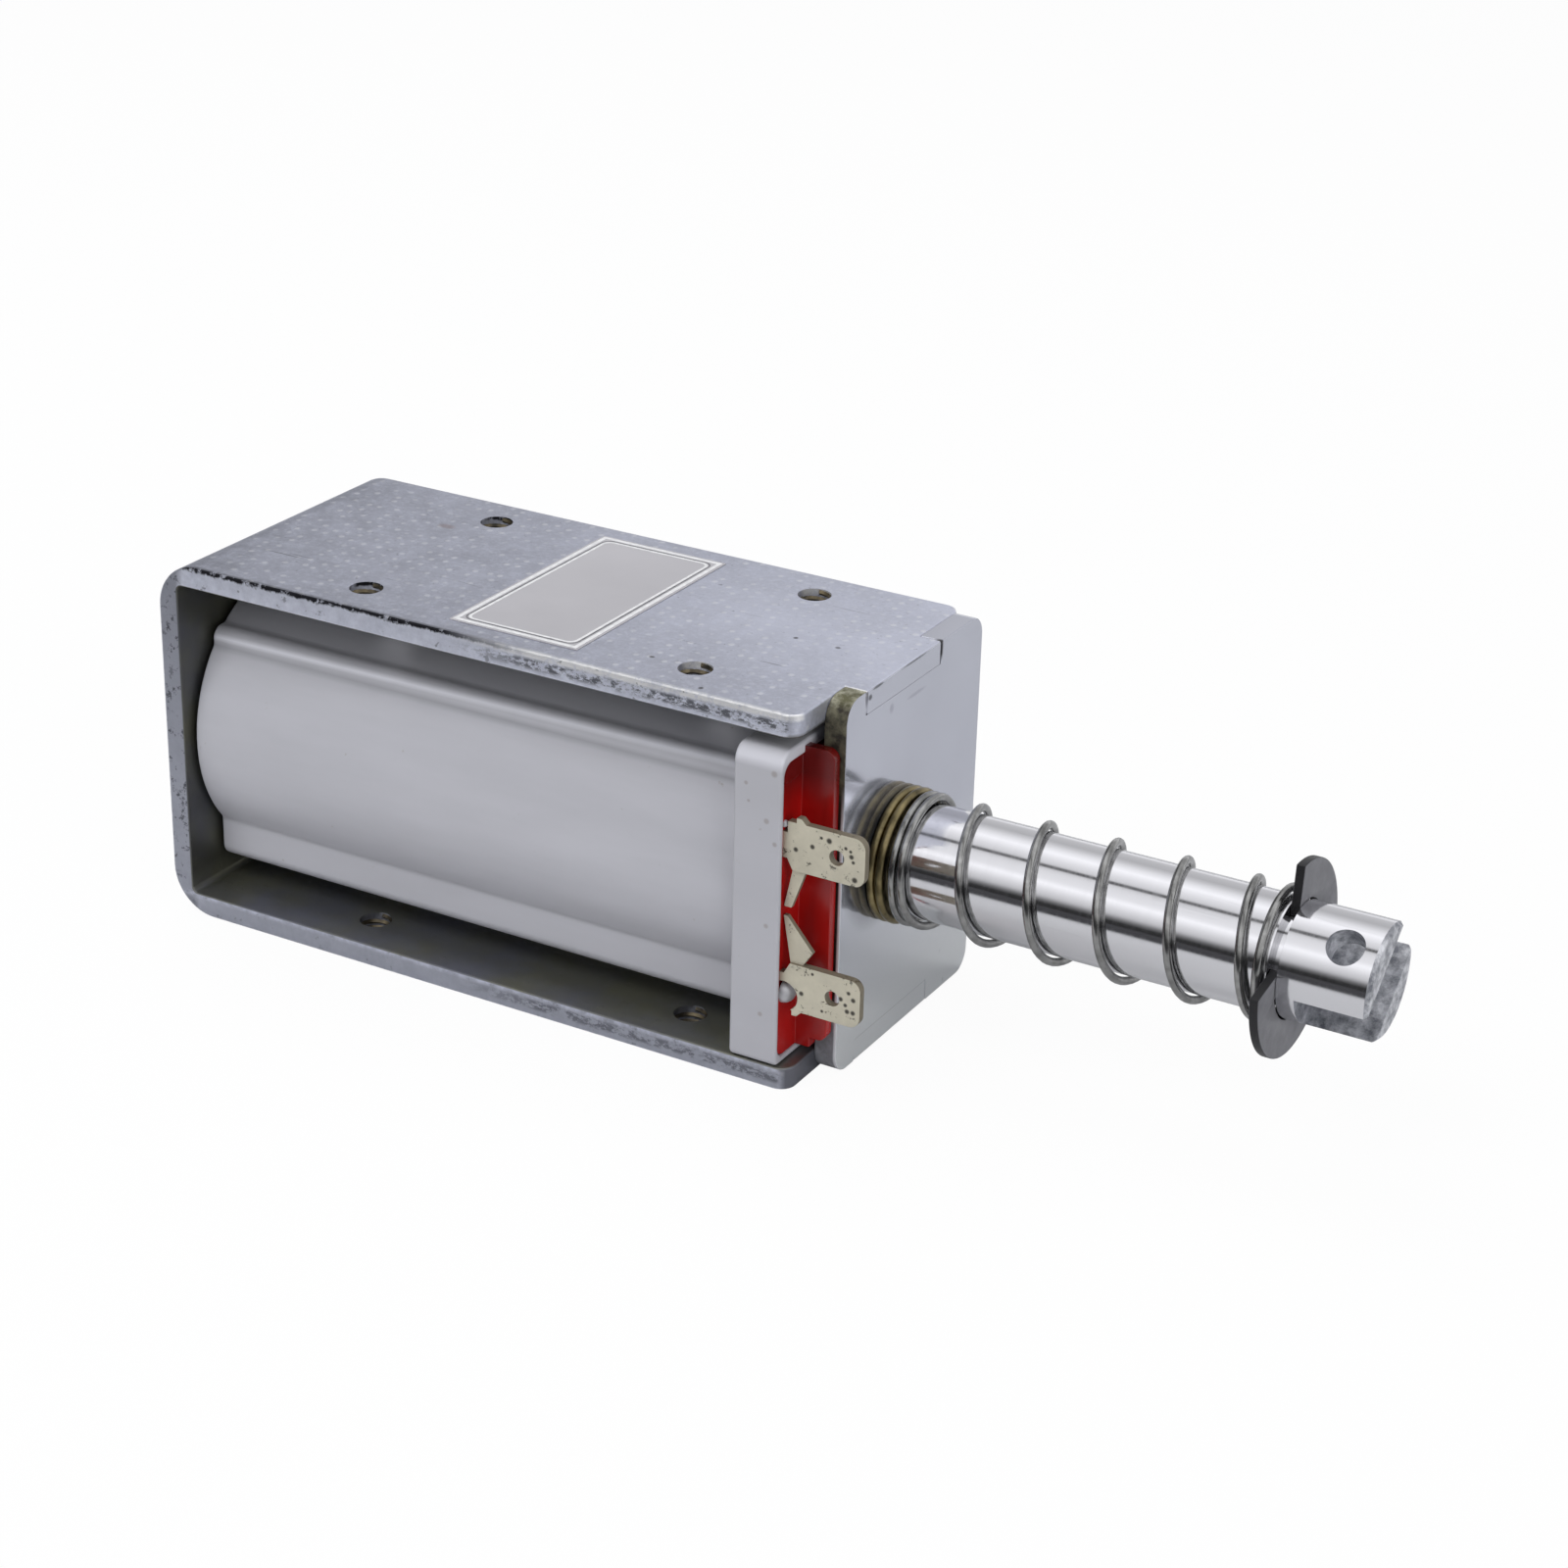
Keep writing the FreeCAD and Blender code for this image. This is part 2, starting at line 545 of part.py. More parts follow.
def make_coil_cover():
    """Moulded cover: a round body on a square base, and a square rim at the front."""
    body = new_body("coil_cover")
    length = rim_x - bobbin_x + rim_back_wall
    base = new_sketch(body, "CoverBase", "YZ_Plane", lift=bobbin_x)
    rectangle(base, (-base_half_width, sheet_thick + base_gap),
              (base_half_width, axis_z + base_shoulder))
    pad(body, base, length)

    def long_edge(edge):
        return straight_along(edge, ALONG_X)

    rounded(body, base_corner, long_edge, "long_edges")
    round_body = new_sketch(body, "CoverRound", "YZ_Plane", lift=bobbin_x)
    circle(round_body, (0, axis_z - cover_drop), cover_r)
    pad(body, round_body, length)

    rim = new_sketch(body, "CoverRim", "YZ_Plane", lift=rim_x)
    rectangle(rim, (rim_near_y, rim_low_z), (rim_far_y, rim_high_z))
    pad(body, rim, rim_length)

    def rim_edge(edge, height):
        spot = middle_of(edge)
        at_side = close(spot.y, rim_near_y) or close(spot.y, rim_far_y)
        return straight_along(edge, ALONG_X) and close(spot.z, height) and at_side

    rounded(body, rim_corner, lambda edge: rim_edge(edge, rim_high_z), "rim_top_corners")
    rounded(body, rim_low_corner, lambda edge: rim_edge(edge, rim_low_z), "rim_low_corners")
    cavity = new_sketch(body, "CoverCavity", "YZ_Plane", lift=rim_x + rim_back_wall)
    rectangle(cavity, (rim_near_y + rim_near_wall, rim_low_z + rim_low_wall),
              (rim_far_y - rim_wall, rim_high_z - rim_wall))
    pocket(body, cavity, rim_length, along_normal=True)

    def cavity_edge(edge):
        spot = middle_of(edge)
        at_end = close(spot.z, rim_low_z + rim_low_wall) or close(spot.z, rim_high_z - rim_wall)
        at_side = (close(spot.y, rim_near_y + rim_near_wall)
                   or close(spot.y, rim_far_y - rim_wall))
        return straight_along(edge, ALONG_X) and at_end and at_side

    rounded(body, flange_corner, cavity_edge, "cavity_corners")
    bore = new_sketch(body, "CoverBore", "YZ_Plane", lift=bobbin_x)
    circle(bore, (0, axis_z), cover_bore_r)
    pocket(body, bore, frame_length * 2, both_ways=True)
    return body


def make_ring(node, start_x, end_x, inner_r, outer_r):
    """A turned ring or tube round the plunger's axis."""
    body = new_body(node)
    turned(body, "Ring_" + node, [(start_x, inner_r), (end_x, inner_r), (end_x, outer_r),
                                  (start_x, outer_r)])
    return body


def make_guide_tube():
    """Brass guide tube with the two-beaded collar rolled in front of the plate."""
    body = new_body("guide_tube")
    bead = collar_length / 4
    waist_r = tube_out_r + collar_height / 2
    turned(body, "TubeOutline", [
        (wall_x, tube_in_r), (collar_x, tube_in_r), (collar_x, waist_r),
        (collar_x - bead / 2, collar_r), (front_x + bead * 3 - bead / 2, collar_r),
        (front_x + bead * 2, waist_r), (front_x + bead + bead / 2, collar_r),
        (front_x, collar_r), (front_x, tube_out_r), (wall_x, tube_out_r)])
    return body


def make_core():
    """Fixed core: conical seat, bore for the push rod, spigot and riveted head."""
    body = new_body("fixed_core")
    bore_r = rod_r + rod_play
    spigot_r = spigot_dia / 2
    turned(body, "CoreOutline", [
        (head_x, bore_r), (seat_x, bore_r), (seat_x, nose_dia / 2 + stop_gap * 2),
        (core_face_x, plunger_r - core_cone_rim), (core_face_x, plunger_r),
        (wall_x, plunger_r), (wall_x, spigot_r), (back_x, spigot_r),
        (back_x, rivet_head_dia / 2), (head_x + rivet_head_thick / 3, rivet_head_dia / 2),
        (head_x, rivet_head_dia / 2 - rivet_head_thick / 2)])
    return body


def make_plunger():
    """Plunger: conical nose, bore for the push rod, clip groove, and slotted, cross-drilled fork."""
    body = new_body("plunger")
    hold_r = rod_r + lock_gap
    groove_r = clip_groove_dia / 2
    turned(body, "PlungerOutline", [
        (nose_x, hold_r), (nose_x, nose_dia / 2), (nose_x + nose_length, plunger_r),
        (groove_back_x, plunger_r), (groove_back_x, groove_r), (groove_front_x, groove_r),
        (groove_front_x, plunger_r), (fork_x - fork_chamfer, plunger_r),
        (fork_x, plunger_r - fork_chamfer), (fork_x, 0), (nose_x + rod_hold + stop_gap, 0),
        (nose_x + rod_hold + stop_gap, hold_r)])
    return body


def fork_cutters():
    """The slot and the cross hole of the fork, as plain tools turned about the plunger's axis."""
    slot = doc.addObject("Part::Box", "ForkSlot")
    slot_long = fork_depth * 2
    slot_span = plunger_dia * 2
    bind(slot, "Length", slot_long)
    bind(slot, "Width", fork_slot)
    bind(slot, "Height", slot_span)
    tilt = Rotation(ALONG_X, -fork_angle.value)
    corner = Vector(0, -fork_slot.value / 2, -slot_span.value / 2)
    slot.Placement = Placement(Vector(fork_x.value - fork_depth.value, 0, axis_z.value)
                               + tilt.multVec(corner), tilt)
    hole = doc.addObject("Part::Cylinder", "ForkHole")
    bind(hole, "Radius", cross_bore / 2)
    bind(hole, "Height", slot_span)
    turn = tilt.multiply(Rotation(ALONG_X, 90))
    start = tilt.multVec(Vector(0, slot_span.value / 2, 0))
    hole.Placement = Placement(Vector(fork_x.value - cross_setback.value, 0, axis_z.value)
                               + start, turn)
    return slot, hole


def make_forked_plunger():
    """The turned plunger with its slot and cross hole cut out."""
    blank = make_plunger()
    blank.Label = "plunger_blank"
    slot, hole = fork_cutters()
    checked(slot)
    slotted = doc.addObject("Part::Cut", "SlottedPlunger")
    slotted.Base = blank
    slotted.Tool = slot
    drilled = doc.addObject("Part::Cut", "DrilledPlunger")
    drilled.Base = slotted
    drilled.Tool = hole
    drilled.Label = "plunger"
    return drilled


def make_push_rod():
    """Push rod, with the groove for its clip and a chamfered end behind the back wall."""
    body = new_body("push_rod")
    groove_r = rod_groove_dia / 2
    chamfer = rod_dia / 8
    end_x = nose_x + rod_hold
    turned(body, "RodOutline", [
        (rod_end_x, 0), (rod_end_x, rod_r - chamfer), (rod_end_x + chamfer, rod_r),
        (rod_groove_back_x, rod_r), (rod_groove_back_x, groove_r),
        (rod_groove_front_x, groove_r), (rod_groove_front_x, rod_r),
        (end_x - chamfer, rod_r), (end_x, rod_r - chamfer), (end_x, 0)])
    return body


def polar(radius, degrees):
    """A point in the clip's plane, with the angle counted from the clip's mouth."""
    angle = math.radians(degrees)
    return Vector(0, -radius * math.cos(angle), radius * math.sin(angle))


def clip_outline(hold_r, relief_r, outer_r):
    """Outline of an E-shaped retaining ring: two tips and a middle pad hold the groove."""
    mouth_inner = 35
    mouth_outer = 44
    tip_end = 58
    pad_half = 22
    arcs = [(outer_r, mouth_outer, 360 - mouth_outer), (hold_r, 360 - mouth_inner, 360 - tip_end),
            (relief_r, 360 - tip_end - 4, 180 + pad_half + 4),
            (hold_r, 180 + pad_half, 180 - pad_half),
            (relief_r, 180 - pad_half - 4, tip_end + 4), (hold_r, tip_end, mouth_inner)]
    edges = []
    last = None
    for radius, start, end in arcs:
        begin = polar(radius, start)
        if last is not None:
            edges.append(Part.LineSegment(last, begin).toShape())
        arc = Part.Arc(begin, polar(radius, (start + end) / 2), polar(radius, end))
        edges.append(arc.toShape())
        last = polar(radius, end)
    edges.append(Part.LineSegment(last, polar(arcs[0][0], arcs[0][1])).toShape())
    return Part.Face(Part.Wire(edges))


def make_clip(node, start_x, thick, hold_r, relief_r, outer_r, facing):
    """An E-clip: its outline pushed along the axis, with the mouth tilted by facing degrees."""
    outline = clip_outline(hold_r.value, relief_r.value, outer_r.value)
    solid = outline.extrude(Vector(thick.value, 0, 0))
    solid.rotate(Vector(0, 0, 0), ALONG_X, -facing.value)
    clip = doc.addObject("Part::Feature", "Clip_" + node)
    clip.Shape = solid
    clip.Placement = Placement(Vector(start_x.value, 0, axis_z.value), clip.Placement.Rotation)
    clip.Label = node
    return clip


def spring_advance(turn, runs):
    """How far along the axis the wire has come after so many turns, with soft pitch changes."""
    closed_pitch, open_pitch, first, opened = runs
    soft = 0.3
    advance = closed_pitch * turn
    for change, sign in ((first, 1), (first + opened, -1)):
        past = turn - (change - soft / 2)
        if past > 0:
            gained = past * past / (2 * soft) if past < soft else past - soft / 2
            advance += sign * (open_pitch - closed_pitch) * gained
    return advance


def make_return_spring():
    """Compression spring between the collar and the clip, with closed turns at both ends."""
    wire_r = spring_wire.value / 2
    coil_r = plunger_r.value + spring_play.value + wire_r
    start_x = collar_x.value + spring_rest_gap.value + wire_r
    end_x = clip_back_x.value - spring_rest_gap.value - wire_r
    closed_pitch = spring_wire.value + closed_gap.value
    closed_turns = closed_first.value + closed_last.value
    open_pitch = (end_x - start_x - closed_pitch * closed_turns) / spring_turns.value
    runs = (closed_pitch, open_pitch, closed_first.value, spring_turns.value)
    turns = closed_turns + spring_turns.value
    steps = int(turns * 16)
    points = []
    for step in range(steps + 1):
        turn = turns * step / steps
        angle = math.radians(spring_start_angle.value + 360 * turn)
        points.append(Vector(start_x + spring_advance(turn, runs), coil_r * math.cos(angle),
                             axis_z.value + coil_r * math.sin(angle)))
    curve = Part.BSplineCurve()
    curve.interpolate(points)
    path = Part.Wire([curve.toShape()])
    heading = curve.tangent(curve.FirstParameter)[0]
    section = Part.Wire([Part.makeCircle(wire_r, points[0], heading)])
    spring = doc.addObject("Part::Feature", "SpringShape")
    spring.Shape = path.makePipeShell([section], True, False)
    spring.Label = "return_spring"
    return spring


def make_terminal(node, blade_z, up):
    """A tin-plated terminal: blade with its barb, and the neck through the bobbin's flange."""
    body = new_body(node)
    half = blade_width / 2 * up
    neck = neck_width / 2 * up
    outer = blade_z + half
    inner = blade_z - half
    barb_x = shoulder_x + barb_setback
    outline = new_sketch(body, "Outline_" + node, "XZ_Plane", lift=-blade_far_y)
    polygon(outline, [
        (neck_x, blade_z + neck), (shoulder_x, blade_z + neck), (shoulder_x, outer),
        (barb_x, outer), (barb_x, outer + barb_height * up),
        (barb_x + barb_width, outer + barb_height * up),
        (barb_x + barb_width + barb_height, outer), (blade_end_x, outer), (blade_end_x, inner),
        (shoulder_x + root_slant, inner), (shoulder_x, blade_z - neck), (neck_x, blade_z - neck)])
    pad(body, outline, blade_thick)

    def end_corner(edge):
        return straight_along(edge, ALONG_Y) and close(middle_of(edge).x, blade_end_x)

    rounded(body, blade_corner, end_corner, "ends_" + node)
    hole = new_sketch(body, "Hole_" + node, "XZ_Plane", lift=-blade_far_y)
    circle(hole, (blade_end_x - blade_hole_setback, blade_z), blade_hole_dia / 2)
    pocket(body, hole, blade_thick * 4, both_ways=True)
    return body


def make_upper_terminal():
    """Upper terminal, with a straight solder arm that narrows on its way down."""
    body = make_terminal("terminal_upper", upper_blade_z, 1)
    arm = new_sketch(body, "UpperArm", "XZ_Plane", lift=-blade_far_y)
    inner = upper_blade_z - blade_width / 2
    tip_z = inner - upper_arm_length
    tip_x = spacer_x + fit_gap
    polygon(arm, [(shoulder_x + root_slant, inner + arm_overlap), (tip_x, tip_z),
                  (tip_x + arm_tip, tip_z), (shoulder_x + arm_foot, inner),
                  (shoulder_x + arm_foot, inner + arm_overlap)])
    pad(body, arm, arm_thick)
    return body


def make_lower_terminal():
    """Lower terminal: its solder arm is bent out at the knee, and a notch clears the solder."""
    body = make_terminal("terminal_lower", lower_blade_z, -1)
    arm = new_sketch(body, "LowerArm", "XZ_Plane", lift=-blade_far_y)
    inner = lower_blade_z + blade_width / 2
    tip_z = inner + lower_arm_length
    tip_x = spacer_x + fit_gap
    polygon(arm, [(shoulder_x + root_slant, inner - arm_overlap), (tip_x, tip_z),
                  (tip_x + arm_tip / 2, tip_z), (shoulder_x + knee_reach, inner + knee_rise),
                  (shoulder_x + arm_foot, inner), (shoulder_x + arm_foot, inner - arm_overlap)])
    pad(body, arm, arm_thick)
    notch = new_sketch(body, "LowerNotch", "XZ_Plane", lift=-blade_far_y)
    circle(notch, (shoulder_x, lower_blade_z - bead_drop), bead_radius + bead_clearance)
    pocket(body, notch, blade_thick * 4, both_ways=True)
    return body


def make_bead(node, spot_z, radius):
    """A solder bead: half a ball on the flange's front face, just inside its near edge."""
    ball = doc.addObject("Part::Sphere", "Ball_" + node)
    bind(ball, "Radius", radius)
    room = doc.addObject("Part::Box", "Room_" + node)
    bind(room, "Length", radius * 2)
    bind(room, "Width", radius * 4)
    bind(room, "Height", radius * 4)
    middle_y = flange_near_y + fit_gap + radius
    for target, reach in ((ball, as_size(0)), (room, radius * 2)):
        bind(target, ".Placement.Base.x", spacer_x)
        bind(target, ".Placement.Base.y", middle_y - reach)
        bind(target, ".Placement.Base.z", spot_z - reach)
    dome = doc.addObject("Part::Common", "Dome_" + node)
    dome.Base = ball
    dome.Tool = room
    dome.Label = node
    return dome


def make_lead(node, blade_z):
    """The end of the winding: a straight run from the tape to the terminal's neck."""
    lead = doc.addObject("Part::Cylinder", "Lead_" + node)
    reach = math.sqrt(tape_r.value ** 2 - (blade_z.value - axis_z.value) ** 2)
    inner_y = -reach - lead_dia.value / 4
    outer_y = blade_far_y.value + lock_gap.value
    bind(lead, "Radius", lead_dia / 2)
    lead.Height = inner_y - outer_y
    lead.Placement = Placement(
        Vector(neck_x.value + neck_inside.value / 2, outer_y, blade_z.value),
        Rotation(ALONG_X, -90))
    lead.Label = node
    return lead


def make_label():
    """Foil label in the middle of the top sheet."""
    body = new_body("label")
    outline = new_sketch(body, "LabelOutline", "XY_Plane", lift=frame_height)
    rectangle(outline, (-(label_long / 2), -(label_cross / 2)), (label_long / 2, label_cross / 2))
    pad(body, outline, label_thick)
    return body


def build_nodes():
    """Every physical piece, in the order from the frame inwards and then out to the plunger."""
    clip_relief_r = plunger_r + spring_play * 3
    return [
        make_frame(),
        make_front_plate(),
        make_label(),
        make_ring("rear_insulator", wall_x, bobbin_x, barrel_in_r, tape_r),
        make_bobbin(),
        make_ring("winding", rear_flange_x, front_flange_x, barrel_out_r + fit_gap, winding_r),
        make_ring("winding_tape", rear_flange_x, front_flange_x, tape_in_r, tape_r),
        make_coil_cover(),
        make_upper_terminal(),
        make_lower_terminal(),
        make_bead("solder_upper", upper_blade_z + neck_width / 2 + small_bead_rise,
                  small_bead_radius),
        make_bead("solder_lower", lower_blade_z - bead_drop, bead_radius),
        make_lead("lead_upper", upper_blade_z),
        make_lead("lead_lower", lower_blade_z),
        make_guide_tube(),
        make_core(),
        make_ring("seat_damper", seat_x, seat_x + seat_damper_thick, rod_r + rod_play,
                  nose_dia / 2 - stop_gap),
        make_return_spring(),
        make_forked_plunger(),
        make_push_rod(),
        make_clip("plunger_clip", clip_back_x, clip_thick, clip_hold_r, clip_relief_r,
                  clip_outer_dia / 2, clip_facing),
        make_ring("end_damper", end_washer_x, end_damper_x, rod_r + rod_play,
                  end_damper_dia / 2),
        make_ring("end_washer", rod_groove_front_x, end_washer_x, rod_r + rod_play,
                  end_washer_dia / 2),
        make_clip("rod_clip", rod_groove_back_x + clip_play, rod_clip_thick,
                  rod_groove_dia / 2 + clip_seat_play, rod_r + rod_play,
                  rod_clip_dia / 2, clip_facing),
    ]


def write_nodes(nodes):
    """Checks every solid and writes it to its own file."""
    checked(doc)
    os.makedirs("parts", exist_ok=True)
    for node in nodes:
        shape = node.Shape
        if shape.isNull() or not shape.isValid() or len(shape.Solids) != 1:
            raise RuntimeError("bad shape: " + node.Label)
        shape.exportStep(os.path.join("parts", node.Label + ".step"))
        box = shape.BoundBox
        print("%-16s volume %9.1f  x %7.2f %7.2f  y %7.2f %7.2f  z %6.2f %6.2f" % (
            node.Label, shape.Volume, box.XMin, box.XMax, box.YMin, box.YMax, box.ZMin, box.ZMax))


write_nodes(build_nodes())
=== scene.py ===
"""Looks of the push pull solenoid: finishes, softened edges, threads, spring and label marks.

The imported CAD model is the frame, in metres: +X along the plunger, +Z up, -Y the terminal side.
"""
import json
import math

import bmesh
import bpy
from bpy.props import FloatProperty, FloatVectorProperty, IntProperty, PointerProperty
from mathutils import Matrix, Quaternion, Vector


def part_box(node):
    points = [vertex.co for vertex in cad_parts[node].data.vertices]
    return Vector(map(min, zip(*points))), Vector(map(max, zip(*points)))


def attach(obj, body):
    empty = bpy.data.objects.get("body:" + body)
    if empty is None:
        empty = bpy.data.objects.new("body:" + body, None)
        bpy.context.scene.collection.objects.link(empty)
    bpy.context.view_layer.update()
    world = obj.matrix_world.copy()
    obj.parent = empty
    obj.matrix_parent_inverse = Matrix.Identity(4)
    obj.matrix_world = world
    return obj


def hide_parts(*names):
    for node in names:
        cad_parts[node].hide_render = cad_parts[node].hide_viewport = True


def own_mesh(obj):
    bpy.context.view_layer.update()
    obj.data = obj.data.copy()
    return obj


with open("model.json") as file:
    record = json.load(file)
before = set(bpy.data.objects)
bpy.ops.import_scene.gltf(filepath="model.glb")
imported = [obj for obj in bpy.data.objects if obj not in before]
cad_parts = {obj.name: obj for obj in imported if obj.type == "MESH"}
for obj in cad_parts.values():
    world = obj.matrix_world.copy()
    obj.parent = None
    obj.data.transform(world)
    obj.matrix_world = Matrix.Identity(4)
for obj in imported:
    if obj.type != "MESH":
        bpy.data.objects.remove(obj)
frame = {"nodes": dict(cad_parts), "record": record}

bl_info = {
    "name": "Push pull solenoid looks",
    "version": (1, 0, 0),
    "blender": (4, 5, 0),
    "location": "View3D > Sidebar > Solenoid",
    "description": "Dresses the packed solenoid with its finishes and small details",
    "category": "Object",
}

MM = 0.001
ALONG_X = Vector((1, 0, 0))
ALONG_Z = Vector((0, 0, 1))

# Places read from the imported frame
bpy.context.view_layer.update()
FRAME_LOW, FRAME_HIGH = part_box("frame")
PLATE_LOW, PLATE_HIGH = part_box("front_plate")
PLUNGER_LOW, PLUNGER_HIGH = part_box("plunger")
CLIP_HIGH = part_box("plunger_clip")[1]
TUBE_LOW, TUBE_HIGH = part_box("guide_tube")
LABEL_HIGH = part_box("label")[1]
SPRING_LOW, SPRING_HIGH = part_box("return_spring")
AXIS_Z = (FRAME_LOW.z + FRAME_HIGH.z) / 2
SHEET = FRAME_HIGH.x - PLATE_LOW.x
PLUNGER_RADIUS = (PLUNGER_HIGH.z - PLUNGER_LOW.z) / 2


def named(entries, name):
    """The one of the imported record's entries that has a name."""
    found = [entry for entry in entries if entry["name"] == name]
    if not found:
        raise RuntimeError("not in the record: " + name)
    return found[0]


# Sizes and colours that a user may change

def length(low=0, **settings):
    """A length that a user may change."""
    return FloatProperty(min=low, unit="LENGTH", **settings)


def colored(**settings):
    """A colour that a user may change."""
    return FloatVectorProperty(subtype="COLOR", min=0, max=1, **settings)


class SolenoidDetails(bpy.types.PropertyGroup):
    """Sizes of the small details"""

    edge_round: length(
        name="Edge rounding", description="Rounding of the folded sheet's sheared edges",
        default=0.22 * MM)
    fine_round: length(
        name="Fine rounding", description="Rounding of small machined and stamped edges",
        default=0.1 * MM)
    moulded_round: length(
        name="Moulded rounding", description="Rounding of the moulded pieces' edges",
        default=0.3 * MM)
    thread_pitch: length(
        name="Thread pitch", description="Pitch of the threads in the mounting holes",
        default=0.7 * MM, low=0.1 * MM)
    thread_height: length(
        name="Thread height", description="How far the thread crests stand into the holes",
        default=0.2 * MM)
    wire: length(
        name="Spring wire", description="Diameter of the return spring's wire",
        default=0.8 * MM, low=0.1 * MM)
    open_turns: FloatProperty(
        name="Open turns", description="Open turns of the return spring",
        default=5.0, min=1)
    first_turns: FloatProperty(
        name="First closed turns", description="Closed turns of the spring at the collar",
        default=1.5, min=0.5)
    last_turns: FloatProperty(
        name="Last closed turns", description="Closed turns of the spring at the clip",
        default=1.25, min=0.5)
    spring_start: FloatProperty(
        name="Wire start", description="Where the wire begins, turned from +Y to +Z",
        default=math.radians(38), subtype="ANGLE")
    collar_beads: IntProperty(
        name="Collar beads", description="Rolled beads of the guide tube's collar",
        default=2, min=1)
    border_width: length(
        name="Border width", description="Width of the label's outer border line",
        default=0.42 * MM)
    border_corner: length(
        name="Border corner", description="Corner radius of the label's inner border lines",
        default=1.0 * MM)


class SolenoidFinishes(bpy.types.PropertyGroup):
    """Colours of the finishes"""

    zinc: colored(
        name="Zinc plate", description="Specked zinc of the folded sheet",
        default=(0.605, 0.625, 0.72))
    plate: colored(
        name="Front plate", description="Smooth zinc of the front plate",
        default=(0.65, 0.665, 0.74))
    cover: colored(
        name="Cover plastic", description="Moulded coil cover",
        default=(0.44, 0.44, 0.475))
    red: colored(
        name="Bobbin red", description="Glossy bobbin plastic",
        default=(0.37, 0.006, 0.005))
    tin: colored(
        name="Tin plate", description="Terminals",
        default=(0.56, 0.525, 0.42))
    chrome: colored(
        name="Plunger plate", description="Bright plated plunger",
        default=(0.80, 0.80, 0.82))
    brass: colored(
        name="Dark brass", description="Guide tube and its collar",
        default=(0.25, 0.205, 0.105))
    wire: colored(
        name="Spring wire", description="Drawn wire of the return spring",
        default=(0.33, 0.33, 0.32))
    dark: colored(
        name="Dark steel", description="Phosphated retaining clips",
        default=(0.205, 0.205, 0.22))
    label: colored(
        name="Label foil", description="Blank foil label",
        default=(0.46, 0.45, 0.47))


def details():
    """The scene's detail sizes."""
    return bpy.context.scene.solenoid_details


def finishes():
    """The scene's finish colours."""
    return bpy.context.scene.solenoid_finishes


# Finishes

class Nodes:
    """Short ways to add nodes to a node tree."""

    def __init__(self, tree):
        self.nodes = tree.nodes
        self.links = tree.links

    def node(self, kind, inputs=(), **settings):
        """A new node; inputs are pairs of a socket and a number or another node's output."""
        made = self.nodes.new(kind)
        for key, value in settings.items():
            setattr(made, key, value)
        for socket, value in inputs:
            if isinstance(value, bpy.types.NodeSocket):
                self.links.new(value, made.inputs[socket])
            else:
                made.inputs[socket].default_value = value
        return made

    def ramp(self, value, low, high, start=0.0, end=1.0):
        """Turns the range low..high of a value into start..end."""
        return self.node("ShaderNodeMapRange", [
            ("Value", value), ("From Min", low), ("From Max", high), ("To Min", start),
            ("To Max", end)]).outputs[0]

    def maths(self, operation, first, second=0.5):
        """One arithmetic step."""
        return self.node("ShaderNodeMath", [(0, first), (1, second)],
                         operation=operation).outputs[0]

    def times(self, first, *others):
        """The product of several outputs or numbers."""
        for other in others:
            first = self.maths("MULTIPLY", first, other)
        return first


